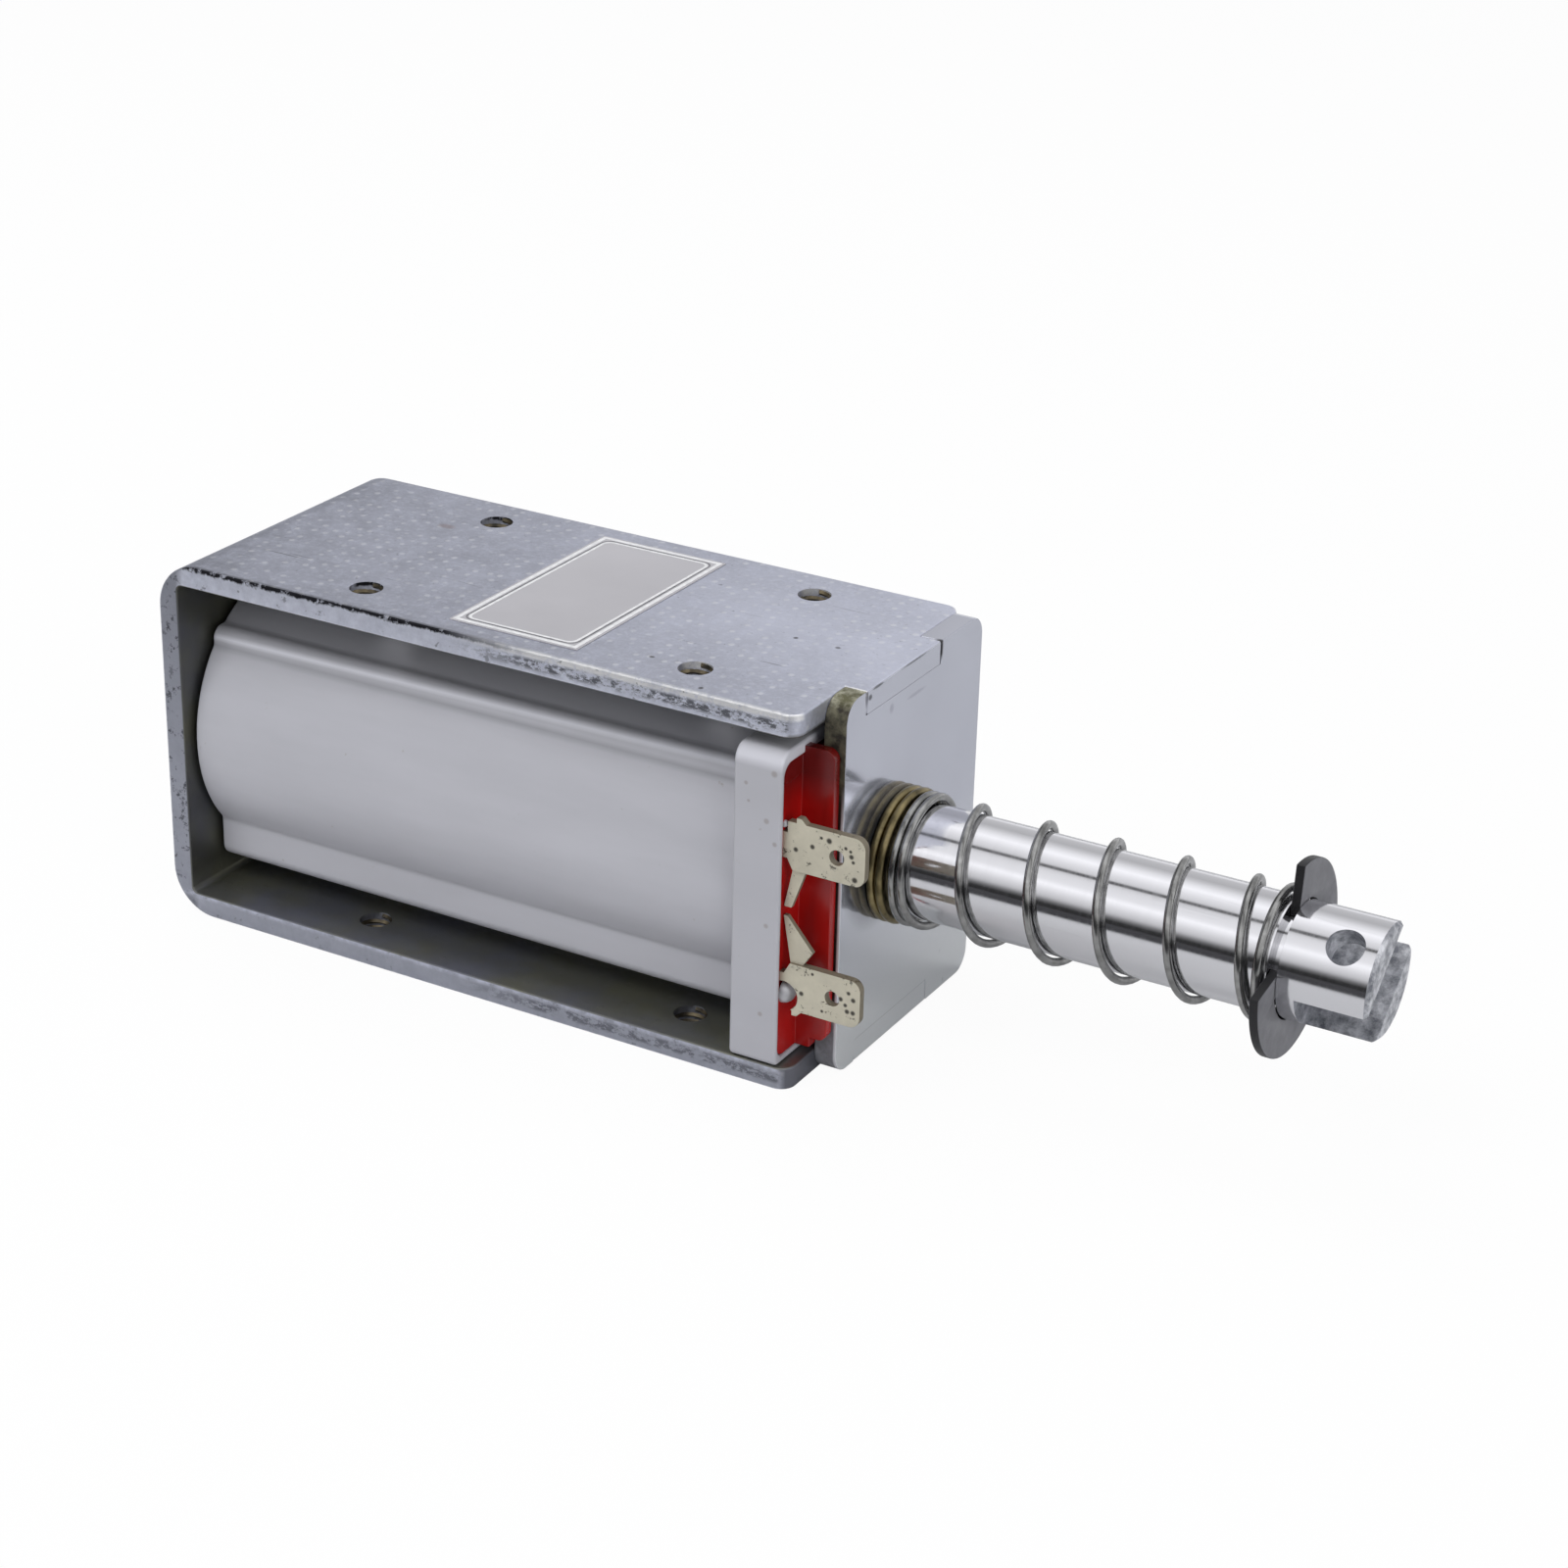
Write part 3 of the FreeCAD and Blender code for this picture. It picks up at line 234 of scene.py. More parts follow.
class Finish(Nodes):
    """A material and short ways to add its patterns."""

    def __init__(self, name, color, metallic=0.0, roughness=0.5, coat=0.0):
        self.color = color
        self.material = bpy.data.materials.new(name)
        self.material.use_nodes = True
        super().__init__(self.material.node_tree)
        self.shader = self.nodes["Principled BSDF"]
        for socket, value in (("Base Color", (*color, 1)), ("Metallic", metallic),
                              ("Roughness", roughness), ("Coat Weight", coat)):
            self.shader.inputs[socket].default_value = value
        spot = self.node("ShaderNodeTexCoord")
        self.place = spot.outputs["Object"]
        self.along = self.node("ShaderNodeSeparateXYZ", [(0, self.place)]).outputs
        self.normal = self.node("ShaderNodeSeparateXYZ", [(0, spot.outputs["Normal"])]).outputs

    def noise(self, scale, detail=3.0, rough=0.55, reach=None, start=0.0, end=1.0):
        """Cloudy noise whose reach, if given, becomes start..end; the scale may differ by axis."""
        vector = self.place
        if isinstance(scale, tuple):
            vector = self.node("ShaderNodeMapping", [
                ("Vector", vector), ("Scale", scale)]).outputs[0]
            scale = 1
        made = self.node("ShaderNodeTexNoise", [
            ("Vector", vector), ("Scale", scale), ("Detail", detail),
            ("Roughness", rough)]).outputs["Fac"]
        return self.ramp(made, *reach, start, end) if reach else made

    def marked(self, base, marks):
        """A colour with soft marks on it: middle, reach, colour and share, in millimetres."""
        for middle, reach, color, share in marks:
            away = self.node("ShaderNodeMapping", [
                ("Vector", self.place), ("Location", Vector(middle) * MM),
                ("Scale", Vector(reach) * MM)], vector_type="TEXTURE").outputs[0]
            away = self.node("ShaderNodeVectorMath", [(0, away)], operation="LENGTH")
            base = self.blend(self.ramp(away.outputs["Value"], 0.5, 1, share, 0), base, color)
        return base

    def blend(self, factor, first, second):
        """One colour laid over another by a factor; a number is a tone of the main colour."""
        inputs = [(0, factor)]
        for index, value in ((6, first), (7, second)):
            if isinstance(value, (int, float)):
                value = [min(1.0, channel * value) for channel in self.color]
            if not isinstance(value, bpy.types.NodeSocket):
                value = (*value, 1)
            inputs.append((index, value))
        return self.node("ShaderNodeMix", inputs, data_type="RGBA").outputs[2]

    def facing(self, axis, low, high, start=0.0, end=1.0):
        """Start to end, for how squarely the surface faces along an axis of the piece."""
        return self.ramp(self.maths("ABSOLUTE", self.normal[axis]), low, high, start, end)

    def paint(self, color):
        """Puts a colour output on the surface."""
        self.links.new(color, self.shader.inputs["Base Color"])
        return self

    def roughen(self, value):
        """Puts a roughness output on the surface."""
        self.links.new(value, self.shader.inputs["Roughness"])
        return self

    def bump(self, height, strength, distance):
        """Raises the surface a little by a height output."""
        made = self.node("ShaderNodeBump", [
            ("Height", height), ("Strength", strength), ("Distance", distance)])
        self.links.new(made.outputs[0], self.shader.inputs["Normal"])
        return self


def mottled(name, color, metallic, roughness, noise, dark, pale=1, bump=(), coat=0.0):
    """A plain finish whose colour wanders by a noise, which may also raise it."""
    made = Finish(name, color, metallic, roughness, coat)
    cloud = made.noise(*noise)
    made.paint(made.blend(cloud, dark, pale))
    if bump:
        made.bump(cloud, *bump)
    return made.material


DARK_MARK = (0.06, 0.06, 0.06)
RUST_MARK = (0.30, 0.15, 0.10)
PIT_MARK = (0.035, 0.03, 0.025)
BROWN_MARK = (0.16, 0.12, 0.08)
# Marks on the top sheet, in millimetres: middle and reach in X and Y, colour and share
SHEET_MARKS = (((-30.6, -8.05), (3.0, 0.13), DARK_MARK, 0.5),
               ((-29.0, -7.6), (1.6, 0.1), DARK_MARK, 0.4),
               ((-22.0, 7.3), (1.2, 0.7), RUST_MARK, 0.35),
               ((13.7, -10.9), (0.35, 0.3), DARK_MARK, 0.8),
               ((21.3, -14.8), (0.3, 0.35), DARK_MARK, 0.8),
               ((22.5, 0.4), (0.3, 0.3), DARK_MARK, 0.8),
               ((27.0, 0.4), (0.35, 0.3), DARK_MARK, 0.7),
               ((23.75, -6.3), (1.6, 0.1), DARK_MARK, 0.5))
SHEET_TOP = 38
# The same on the front plate, which are all dark, the first a painted dark reflection beside the
# collar: middle and reach in Y and Z, and share
PLATE_MARKS_AND_REFLECTION = ((-4.4, 20.2, 6.4, 7.4, 0.8), (7.35, 37.3, 0.34, 1.5, 0.95),
               (-7.35, 37.4, 0.3, 1.2, 0.9), (-6.7, 37.2, 0.45, 0.35, 0.8),
               (-5.2, 37.8, 1.3, 0.16, 0.7), (2.0, 37.85, 3.2, 0.12, 0.6),
               (-2.4, 34.6, 0.5, 0.6, 0.25), (2.5, 34.4, 2.2, 0.25, 0.2))
PLATE_FRONT = 34.3
# Pits of the terminals and specks of the cover's rim on their near faces: X, Z and reach
TAB_PITS = ((33.5, 25.5, 0.3), (31.8, 24.8, 0.3), (35.2, 26.5, 0.35), (34.4, 26.6, 0.2),
            (36.9, 26.2, 0.22), (37.4, 26.0, 0.2), (37.5, 25.5, 0.3), (37.7, 25.0, 0.22),
            (37.9, 23.3, 0.35), (36.9, 11.0, 0.3), (37.4, 10.5, 0.25), (37.7, 11.8, 0.25),
            (38.2, 11.2, 0.3), (37.6, 9.9, 0.3), (32.8, 10.4, 0.3), (38.2, 9.9, 0.3),
            (33.9, 12.7, 0.2), (35.0, 9.2, 0.2))
TAB_FACE_Y = -15.3
RIM_SPECKS = ((29.9, 32.1, 0.4), (29.2, 27.3, 0.35), (30.1, 25.2, 0.3), (29.4, 16.8, 0.3),
              (29.0, 7.6, 0.3), (27.0, 30.6, 0.25), (27.3, 28.9, 0.2))
RIM_FACE_Y = -16.2
# Painted shade in the cover's two creases and a painted highlight along its ridge: height, rise
# per length, reach and how much lighter or darker
COVER_PAINTED_LIGHT = ((28.1, 0, 0.55, 0.76), (29.3, 0.01, 0.42, 1.5), (9.1, 0, 0.5, 0.86))
# The cover's rim begins this far behind the front plate
RIM_REACH = 6.4 * MM


class ZincSheet(Finish):
    """Zinc-plated sheet: rows of bright specks, dark pits and sheared edges, painted light across
    the outer faces, a painted highlight and shadow line along the top's near edge, and painted
    shade inside.
    """

    def __init__(self):
        super().__init__("zinc sheet", finishes().zinc, 0.8, 0.4)
        from_rear = self.maths("SUBTRACT", self.along[0], FRAME_LOW.x)
        self.from_top = self.maths("SUBTRACT", FRAME_HIGH.z, self.along[2])
        from_base = self.maths("SUBTRACT", self.along[2], FRAME_LOW.z)
        self.depth = self.maths("MINIMUM", self.maths("MINIMUM", self.from_top, from_base),
                                from_rear)
        self.grain = self.noise(900, 4, 0.7, (0.3, 0.7))
        # The top sheet's near edge is torn and has a painted highlight in front, and a painted
        # shadow line behind
        self.rear = self.ramp(self.along[0], -6 * MM, 4 * MM, 1, 0)
        self.front = self.maths("SUBTRACT", 1, self.rear)
        on_top = self.ramp(self.along[2], FRAME_HIGH.z - 5 * MM, FRAME_HIGH.z - 3 * MM)
        self.shine = self.times(self.ramp(self.from_top, 0.5 * MM, 0.8 * MM, 1, 0), self.front,
                                on_top, self.noise(800, 4, 0.8, (0.36, 0.52), 0.35))
        self.base_edge = self.ramp(self.along[2], SHEET * 0.9, SHEET * 1.1, 1, 0)
        brink = self.ramp(self.along[1], FRAME_LOW.y + 0.15 * MM, FRAME_LOW.y + 0.6 * MM, 1, 0)
        brink = self.maths("MAXIMUM", self.times(brink, 0.7), self.facing(1, 0.1, 0.35))
        specks = self.specks()
        # Painted shade on the inner faces of the fold
        dull = self.ramp(self.depth, SHEET * 0.8, SHEET * 0.98)
        face = self.blend(dull, self.outside(specks), self.inside())
        turned = self.times(self.base_edge, self.facing(0, 0.2, 0.7))
        face = self.blend(turned, face, 0.3)
        # Painted highlight along the top sheet's near edge, in front
        face = self.blend(self.times(self.shine, brink), face, (1.0, 1.0, 1.0))
        torn = self.torn()
        edge = self.facing(1, 0.90, 0.97)
        face = self.blend(edge, face, self.sheared(torn))
        # Painted shadow line along the top sheet's near edge, behind
        self.paint(self.blend(self.times(self.edge_shadow(), brink), face, (0.02, 0.02, 0.025)))
        self.roughen(self.noise(400, 3, reach=(0.3, 0.7), start=0.34, end=0.48))
        self.bump(self.blend(edge, specks, self.maths("SUBTRACT", self.grain, torn)),
                  0.3, 0.06 * MM)

    def specks(self):
        """Rows of small raised specks, fuller in some patches."""
        rows = self.node("ShaderNodeTexVoronoi", [
            ("Vector", self.place), ("Scale", 610), ("Randomness", 0.45)]).outputs["Distance"]
        return self.times(self.ramp(rows, 0.13, 0.24, 1, 0),
                          self.noise(120, 2, reach=(0.30, 0.5), start=0.3))

    def outside(self, specks):
        """The outer faces: painted light paler to the front, painted shade darker to the near
        edge, specked and scratched.
        """
        # Painted light: the outer faces grow paler toward the front
        painted_light_slope = self.ramp(self.along[0], FRAME_LOW.x, FRAME_HIGH.x)
        face = self.blend(self.noise(70, 4, 0.6, (0.3, 0.7)),
                          self.blend(painted_light_slope, 0.80, 1.04), self.blend(painted_light_slope, 1.0, 1.26))
        # Painted shade toward the near edge
        across = self.ramp(self.along[1], FRAME_LOW.y, 2 * MM, 0.2, 0)
        face = self.blend(across, face, 0.3)
        fine = self.noise(1700, 3, 0.75, (0.45, 0.7), 0, 0.4)
        face = self.blend(fine, face, 1.4)
        face = self.blend(self.noise(1500, 2, 0.6, (0.27, 0.36), 0.35, 0), face, 0.5)
        face = self.blend(self.times(specks, 0.55), face, (0.92, 0.93, 0.98))
        face = self.blend(self.noise(800, 3, 0.7, (0.70, 0.76), 0, 0.6), face, 0.3)
        scratch = self.noise((150, 2600, 900), 2, 0.4, (0.72, 0.78), 0, 0.45)
        return self.marked(self.blend(scratch, face, 0.35), [
            ((*middle, SHEET_TOP), (*reach, 1), tint, share)
            for middle, reach, tint, share in SHEET_MARKS])

    def inside(self):
        """The inner faces in painted shade, dull and greenish, with less painted shade on the
        bottom sheet's.
        """
        low = self.ramp(self.along[2], SHEET, SHEET * 2, 1, 0)
        return self.blend(self.noise(110, 3, reach=(0.35, 0.65)), self.blend(low, 0.17, 0.33),
                          self.blend(low, (0.13, 0.13, 0.10), (0.22, 0.22, 0.17)))

    def edge_shadow(self):
        """A ragged painted shadow line along the top sheet's near edge, behind."""
        wander = self.noise((480, 200, 200), 4, 0.8, (0.3, 0.7), -0.22 * MM, 0.25 * MM)
        edge_shadow = self.ramp(self.maths("ADD", self.from_top, wander), 0.3 * MM, 0.5 * MM, 1, 0)
        return self.times(edge_shadow, self.noise(700, 4, 0.8, (0.36, 0.46)), self.rear)

    def upright(self):
        """One on the sheared edge of the rear wall."""
        return self.ramp(self.along[0], FRAME_LOW.x + SHEET * 0.95, FRAME_LOW.x + SHEET * 1.35,
                         1, 0)

    def torn(self):
        """The torn middle of the sheared edges, and pits on them."""
        seam_line = self.times(self.ramp(self.depth, 0.55 * MM, 0.9 * MM),
                               self.ramp(self.depth, 1.5 * MM, 1.9 * MM, 1, 0))
        torn = self.times(seam_line, self.noise((800, 900, 1500), 4, 0.8, (0.44, 0.54)),
                          self.front)
        torn = self.maths("MAXIMUM", torn, self.noise(620, 3, 0.75, (0.62, 0.67), 0, 0.6))
        freckles = self.times(self.noise(900, 4, 0.8, (0.57, 0.63)), self.upright())
        return self.maths("MAXIMUM", torn, freckles)

    def sheared(self, torn):
        """The sheared edges: bright on the top sheet with a painted highlight in front, darker
        behind and below, and a painted highlight on the bottom sheet's burr.
        """
        edge = self.blend(self.grain, 1.12, 1.42)
        # Painted highlight on the top sheet's sheared edge, in front
        edge = self.blend(self.shine, edge, (1.0, 1.0, 1.0))
        edge = self.blend(self.times(self.upright(), 0.7), edge, 0.36)
        edge = self.blend(self.times(torn, 0.85), edge, 0.12)
        # Painted highlight on the burr along the top of the bottom sheet's edge
        burr_glint = self.times(self.base_edge, self.ramp(self.along[2], SHEET * 0.72, SHEET * 0.9))
        edge = self.blend(self.times(self.base_edge, 0.6), edge, 0.35)
        return self.blend(self.times(burr_glint, self.grain), edge, 1.25)


def smooth_zinc():
    """The front plate's smoother zinc, which mirrors the collar and the spring, painted paler
    toward its foot and with a painted dark reflection beside the collar.
    """
    made = Finish("smooth zinc", finishes().plate, 0.88, 0.09)
    cloud = made.noise(60, 3, 0.6, (0.3, 0.7))
    base = made.blend(cloud, 0.95, 1.05)
    # Painted light: paler toward the foot
    foot = made.ramp(made.along[2], 4 * MM, 20 * MM, 1, 0)
    base = made.blend(foot, base, 1.5)
    worn = made.blend(made.noise(420, 3, 0.7, (0.71, 0.77), 0, 0.45), base, 0.4)
    # Dark marks, and the painted dark reflection beside the collar
    made.paint(made.marked(worn, [((PLATE_FRONT, y, z), (1, wide, high), DARK_MARK, share)
                                  for y, z, wide, high, share in PLATE_MARKS_AND_REFLECTION]))
    made.roughen(made.ramp(cloud, 0, 1, 0.09, 0.13))
    return made.bump(made.noise(160, 2), 0.02, 0.04 * MM).material


def punched_edge():
    """Edges of the front plate: stained olive, painted paler on top, painted shadow near black
    below, a painted highlight along the front edge, and clean at the foot.
    """
    made = Finish("punched edge", (0.07, 0.062, 0.045), 0.5, 0.5)
    stain = made.noise(500, 4, 0.7, (0.4, 0.62))
    along, height = made.along[0], made.along[2]
    # Olive stain, with painted light: paler on the top faces, darker on the sides
    dull = made.blend(made.facing(2, 0.6, 0.9),
                      made.blend(stain, (0.035, 0.03, 0.024), (0.16, 0.15, 0.10)),
                      made.blend(stain, (0.13, 0.125, 0.07), (0.50, 0.49, 0.38)))
    # Painted shadow: near black below the top
    dull = made.blend(made.ramp(height, 28 * MM, 31 * MM, 0.85, 0), dull, (0.014, 0.006, 0.005))
    dull = made.blend(made.ramp(height, 5.5 * MM, 8.5 * MM, 1, 0), dull,
                      made.blend(stain, (0.20, 0.20, 0.215), (0.30, 0.305, 0.33)))
    # Painted highlight along the front edge
    burr_glint = made.times(made.ramp(height, 26 * MM, 30 * MM, 1, 0),
                      made.ramp(along, PLATE_HIGH.x - 0.35 * MM, PLATE_HIGH.x - 0.2 * MM))
    made.paint(made.blend(burr_glint, dull, (0.66, 0.67, 0.70)))
    return made.bump(stain, 0.3, 0.06 * MM).material


def thread_zinc():
    """Yellowish dark zinc down in the tapped holes."""
    return mottled("thread zinc", (0.22, 0.18, 0.11), 0.9, 0.3, (700, 3, 0.6, (0.35, 0.65)),
                   (0.05, 0.045, 0.035))


def cover_plastic():
    """Light grey moulded plastic with faint flow marks and brown specks, painted shade in its two
    creases and painted highlights along its ridge and the rim's top.
    """
    made = Finish("cover plastic", finishes().cover, 0.0, 0.42)
    along, height = made.along[0], made.along[2]
    base = made.blend(made.noise((30, 160, 160), 4, 0.6, (0.3, 0.7)), 0.94, 1.05)
    base = made.blend(made.noise(520, 3, 0.75, (0.70, 0.76), 0, 0.5), base, (0.22, 0.17, 0.12))
    rim_x = PLATE_LOW.x - RIM_REACH
    body = made.ramp(along, rim_x, rim_x + 0.1 * MM, 1, 0)
    # Painted shade in the two creases and a painted highlight along the ridge
    for level, rise, reach, factor in COVER_PAINTED_LIGHT:
        line = made.maths("ADD", made.times(along, rise), level * MM)
        away = made.maths("ABSOLUTE", made.maths("SUBTRACT", height, line))
        line = made.times(made.ramp(away, 0, reach * MM, 1, 0), body)
        base = made.blend(line, base, factor)
    rim = made.maths("SUBTRACT", 1, body)
    above = made.ramp(height, 32.3 * MM, 33.2 * MM)
    base = made.blend(made.times(rim, 0.5), base, 0.82)
    # Painted highlight on the rim's top rounding
    base = made.blend(made.times(rim, above), base, 1.3)
    made.paint(made.marked(base, [((x, RIM_FACE_Y, z), (reach, 0.3, reach), BROWN_MARK, 0.4)
                                  for x, z, reach in RIM_SPECKS]))
    return made.bump(made.noise(700, 2), 0.08, 0.04 * MM).material


def red_plastic():
    """Deep red moulded plastic, glossy and slightly wavy, with painted shade under the top sheet.
    """
    made = Finish("red plastic", finishes().red, 0.0, 0.27, 0.15)
    base = made.blend(made.noise((260, 260, 60), 3, 0.5, (0.3, 0.7)), 0.55, 1.2)
    # Painted shade under the top sheet
    top = made.ramp(made.along[2], 28 * MM, 31 * MM, 0, 0.8)
    made.paint(made.blend(top, base, 0.2))
    return made.bump(made.noise(130, 2), 0.12, 0.2 * MM).material


def tin_plate():
    """Matt tin plate, creamy and pitted."""
    made = Finish("tin plate", finishes().tin, 0.35, 0.5)
    base = made.blend(made.noise(320, 4, 0.65, (0.3, 0.7)), 0.88, 1.1)
    pits = made.noise(900, 4, 0.8, (0.60, 0.65))
    worn = made.blend(made.times(pits, 0.8), base, (0.05, 0.045, 0.035))
    worn = made.marked(worn, [((x, TAB_FACE_Y, z), (reach, 0.4, reach), PIT_MARK, 0.95)
                              for x, z, reach in TAB_PITS])
    made.paint(made.blend(made.facing(1, 0.5, 0.9, 0.75, 0), worn, (0.10, 0.075, 0.04)))
    return made.bump(made.maths("SUBTRACT", 1, pits), 0.4, 0.06 * MM).material


def plunger_plate():
    """Bright plated plunger with faint lines round it from turning and sliding."""
    made = Finish("plunger plate", finishes().chrome, 1.0, 0.1)
    turning = made.noise((5200, 60, 60), 3, 0.6)
    worn = made.noise((60, 900, 900), 4, 0.7, (0.62, 0.72), 0, 0.2)
    flat = made.facing(0, 0.7, 0.9)
    base = made.blend(worn, 1, 0.6)
    made.paint(made.blend(flat, base, 0.6))
    made.roughen(made.ramp(turning, 0.3, 0.7, 0.06, 0.15))
    cut = made.noise(600, 4, 0.7, (0.42, 0.58))
    return made.bump(made.blend(flat, turning, cut), 0.04, 0.02 * MM).material


def fork_cut():
    """The milled slot and drilled hole of the fork: bare, mottled steel."""
    return mottled("milled steel", (0.84, 0.85, 0.88), 0.9, 0.38, (900, 4, 0.7, (0.35, 0.65)),
                   (0.26, 0.27, 0.30), bump=(0.3, 0.06 * MM))


def dark_brass():
    """Darkened brass of the guide tube and its rolled collar."""
    return mottled("dark brass", finishes().brass, 1.0, 0.28, (500, 4, 0.6, (0.3, 0.7)), 0.45, 1.5)


def spring_wire():
    """Drawn spring wire with a dull shine."""
    return mottled("spring wire", finishes().wire, 1.0, 0.2, (700, 3, 0.6, (0.3, 0.7)), 0.7, 1.35)


def dark_steel():
    """Phosphated spring steel of the clips, darkest on its stamped edges."""
    made = Finish("dark steel", finishes().dark, 0.55, 0.42)
    cloud = made.noise(600, 4, 0.7, (0.3, 0.7))
    base = made.blend(cloud, 0.85, 1.15)
    made.paint(made.blend(made.facing(0, 0.3, 0.8), 0.12, base))
    return made.bump(cloud, 0.1, 0.03 * MM).material


def label_foil():
    """Matt foil of the blank label."""
    return mottled("label foil", finishes().label, 0.1, 0.55, (140, 3, 0.5, (0.3, 0.7)),
                   0.97, 1.03)


def border_ink(name, color, dark):
    """Print of the label's border lines."""
    return mottled(name, color, 0.0, 0.5, (1500, 2, 0.55, (0.3, 0.7)), dark)


def plain_steel():
    """Turned or ground steel of the small parts."""
    made = Finish("plain steel", (0.48, 0.48, 0.50), 1.0, 0.3)
    turning = made.noise((3800, 90, 90), 3, 0.6)
    made.roughen(made.ramp(turning, 0.3, 0.7, 0.22, 0.38))
    return made.paint(made.blend(turning, (0.40, 0.40, 0.42), (0.56, 0.56, 0.58))).material


def black_rubber():
    """Matt black rubber of the damping washers."""
    return mottled("black rubber", (0.035, 0.035, 0.037), 0.0, 0.75, (1800, 3),
                   (0.018, 0.018, 0.019), bump=(0.15, 0.02 * MM))


def copper_wire():
    """Enamelled copper, laid in turns along the coil."""
    made = Finish("copper wire", (0.55, 0.22, 0.08), 1.0, 0.3)
    turns = made.node("ShaderNodeTexWave", [
        ("Vector", made.place), ("Scale", 900), ("Distortion", 0.4)], bands_direction="X")
    made.paint(made.blend(turns.outputs["Fac"], (0.30, 0.10, 0.03), (0.62, 0.27, 0.11)))
    return made.bump(turns.outputs["Fac"], 0.5, 0.1 * MM).material


def tape_film():
    """Amber insulating tape."""
    return mottled("tape film", (0.70, 0.50, 0.18), 0.0, 0.3, ((90, 500, 500), 3, 0.6),
                   (0.50, 0.33, 0.08), coat=0.3)


def fibre_sheet():
    """Dark pressed fibre of the rear disc."""
    return mottled("fibre sheet", (0.15, 0.11, 0.08), 0.0, 0.8, (1400, 5, 0.8),
                   (0.07, 0.05, 0.035), bump=(0.2, 0.03 * MM))


def solder_metal():
    """Dull grey solder."""
    return mottled("solder metal", (0.66, 0.66, 0.68), 0.6, 0.5, (900, 3, 0.55, (0.3, 0.7)),
                   (0.42, 0.42, 0.44), bump=(0.15, 0.05 * MM))


# Modelling helpers

# A CAD mesh's edges under the first angle are taken out, and those over the second rounded
FLAT_ANGLE = math.radians(0.4)
SHARP_ANGLE = math.radians(32)


def new_piece(name, mesh, body, materials, smooth=30):
    """Puts a finished mesh in the scene, on its body, with its finishes."""
    mesh.polygons.foreach_set("use_smooth", [True] * len(mesh.polygons))
    mesh.set_sharp_from_angle(angle=math.radians(smooth))
    for material in materials:
        mesh.materials.append(material)
    piece = bpy.data.objects.new(name, mesh)
    bpy.context.scene.collection.objects.link(piece)
    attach(piece, body)
    return piece


def to_mesh(bm, name):
    """A mesh from a bmesh, with doubles merged and faces pointing out."""
    bmesh.ops.remove_doubles(bm, verts=bm.verts, dist=1e-3 * MM)
    bmesh.ops.recalc_face_normals(bm, faces=bm.faces)
    mesh = bpy.data.meshes.new(name)
    bm.to_mesh(mesh)
    bm.free()
    return mesh


def from_axis(place):
    """The way from the plunger's axis straight out to a place."""
    return Vector((0, place.y, place.z - AXIS_Z))


def shade_by_area(mesh, bar_radius=0.0):
    """Lets large faces look flat beside rounded edges, and a bar's skin look truly round."""
    close = math.cos(math.radians(50))
    touching = [[] for vert in mesh.vertices]
    for face in mesh.polygons:
        for vert in face.vertices:
            touching[vert].append(face)
    normals = []
    for face in mesh.polygons:
        for vert in face.vertices:
            outward = from_axis(mesh.vertices[vert].co)
            if (bar_radius and abs(outward.length - bar_radius) < 0.01 * MM
                    and face.normal.dot(outward.normalized()) > 0.985):
                normals.append(outward.normalized())
                continue
            total = Vector()
            for other in touching[vert]:
                if other.normal.dot(face.normal) > close:
                    total += other.normal * other.area
            normals.append(total.normalized() if total.length > 0 else face.normal.copy())
    mesh.normals_split_custom_set(normals)


def seam(edge):
    """True for the front edges where the frame's tongues meet the front plate."""
    return all(vert.co.x > FRAME_HIGH.x - 0.05 * MM and abs(vert.co.y) < FRAME_HIGH.y / 2
               and min(abs(vert.co.z - SHEET), abs(FRAME_HIGH.z - SHEET - vert.co.z)) < 0.05 * MM
               for vert in edge.verts)


def softened(node, name, body, materials, width, segments=2, second=None,
             bar_radius=0.0, keep=None):
    """A copy of a CAD piece with its sharp edges rounded, which stands for that piece.

    Faces for which second is true take the second finish; edges for which keep is true stay.
    """
    bm = bmesh.new()
    bm.from_mesh(frame["nodes"][node].data)
    bmesh.ops.remove_doubles(bm, verts=bm.verts, dist=1e-3 * MM)
    bmesh.ops.dissolve_limit(bm, angle_limit=FLAT_ANGLE, verts=bm.verts, edges=bm.edges)
    bm.normal_update()
    for face in bm.faces:
        face.material_index = 1 if second and second(face) else 0
    sharp = [edge for edge in bm.edges
             if edge.is_manifold and edge.calc_face_angle(0) > SHARP_ANGLE
             and not (keep and keep(edge))]
    bmesh.ops.bevel(bm, geom=sharp, offset=width, offset_type="OFFSET", segments=segments,
                    profile=0.5, affect="EDGES", clamp_overlap=True, material=-1)
    piece = new_piece(name, to_mesh(bm, name), body, materials)
    shade_by_area(piece.data, bar_radius=bar_radius)
    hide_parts(node)
    return piece


def painted(material, *nodes):
    """Gives CAD pieces their finish."""
    for node in nodes:
        mesh = frame["nodes"][node].data
        mesh.materials.clear()
        mesh.materials.append(material)


def drawn(bm, outline):
    """The vertices and edges of a closed outline of points."""
    verts = [bm.verts.new(spot) for spot in outline]
    return verts + [bm.edges.new(pair) for pair in zip(verts, verts[1:] + verts[:1])]


def capped(bm, ring):
    """Closes an open end with one face."""
    bmesh.ops.contextual_create(bm, geom=[item for item in ring
                                          if isinstance(item, bmesh.types.BMVert)])


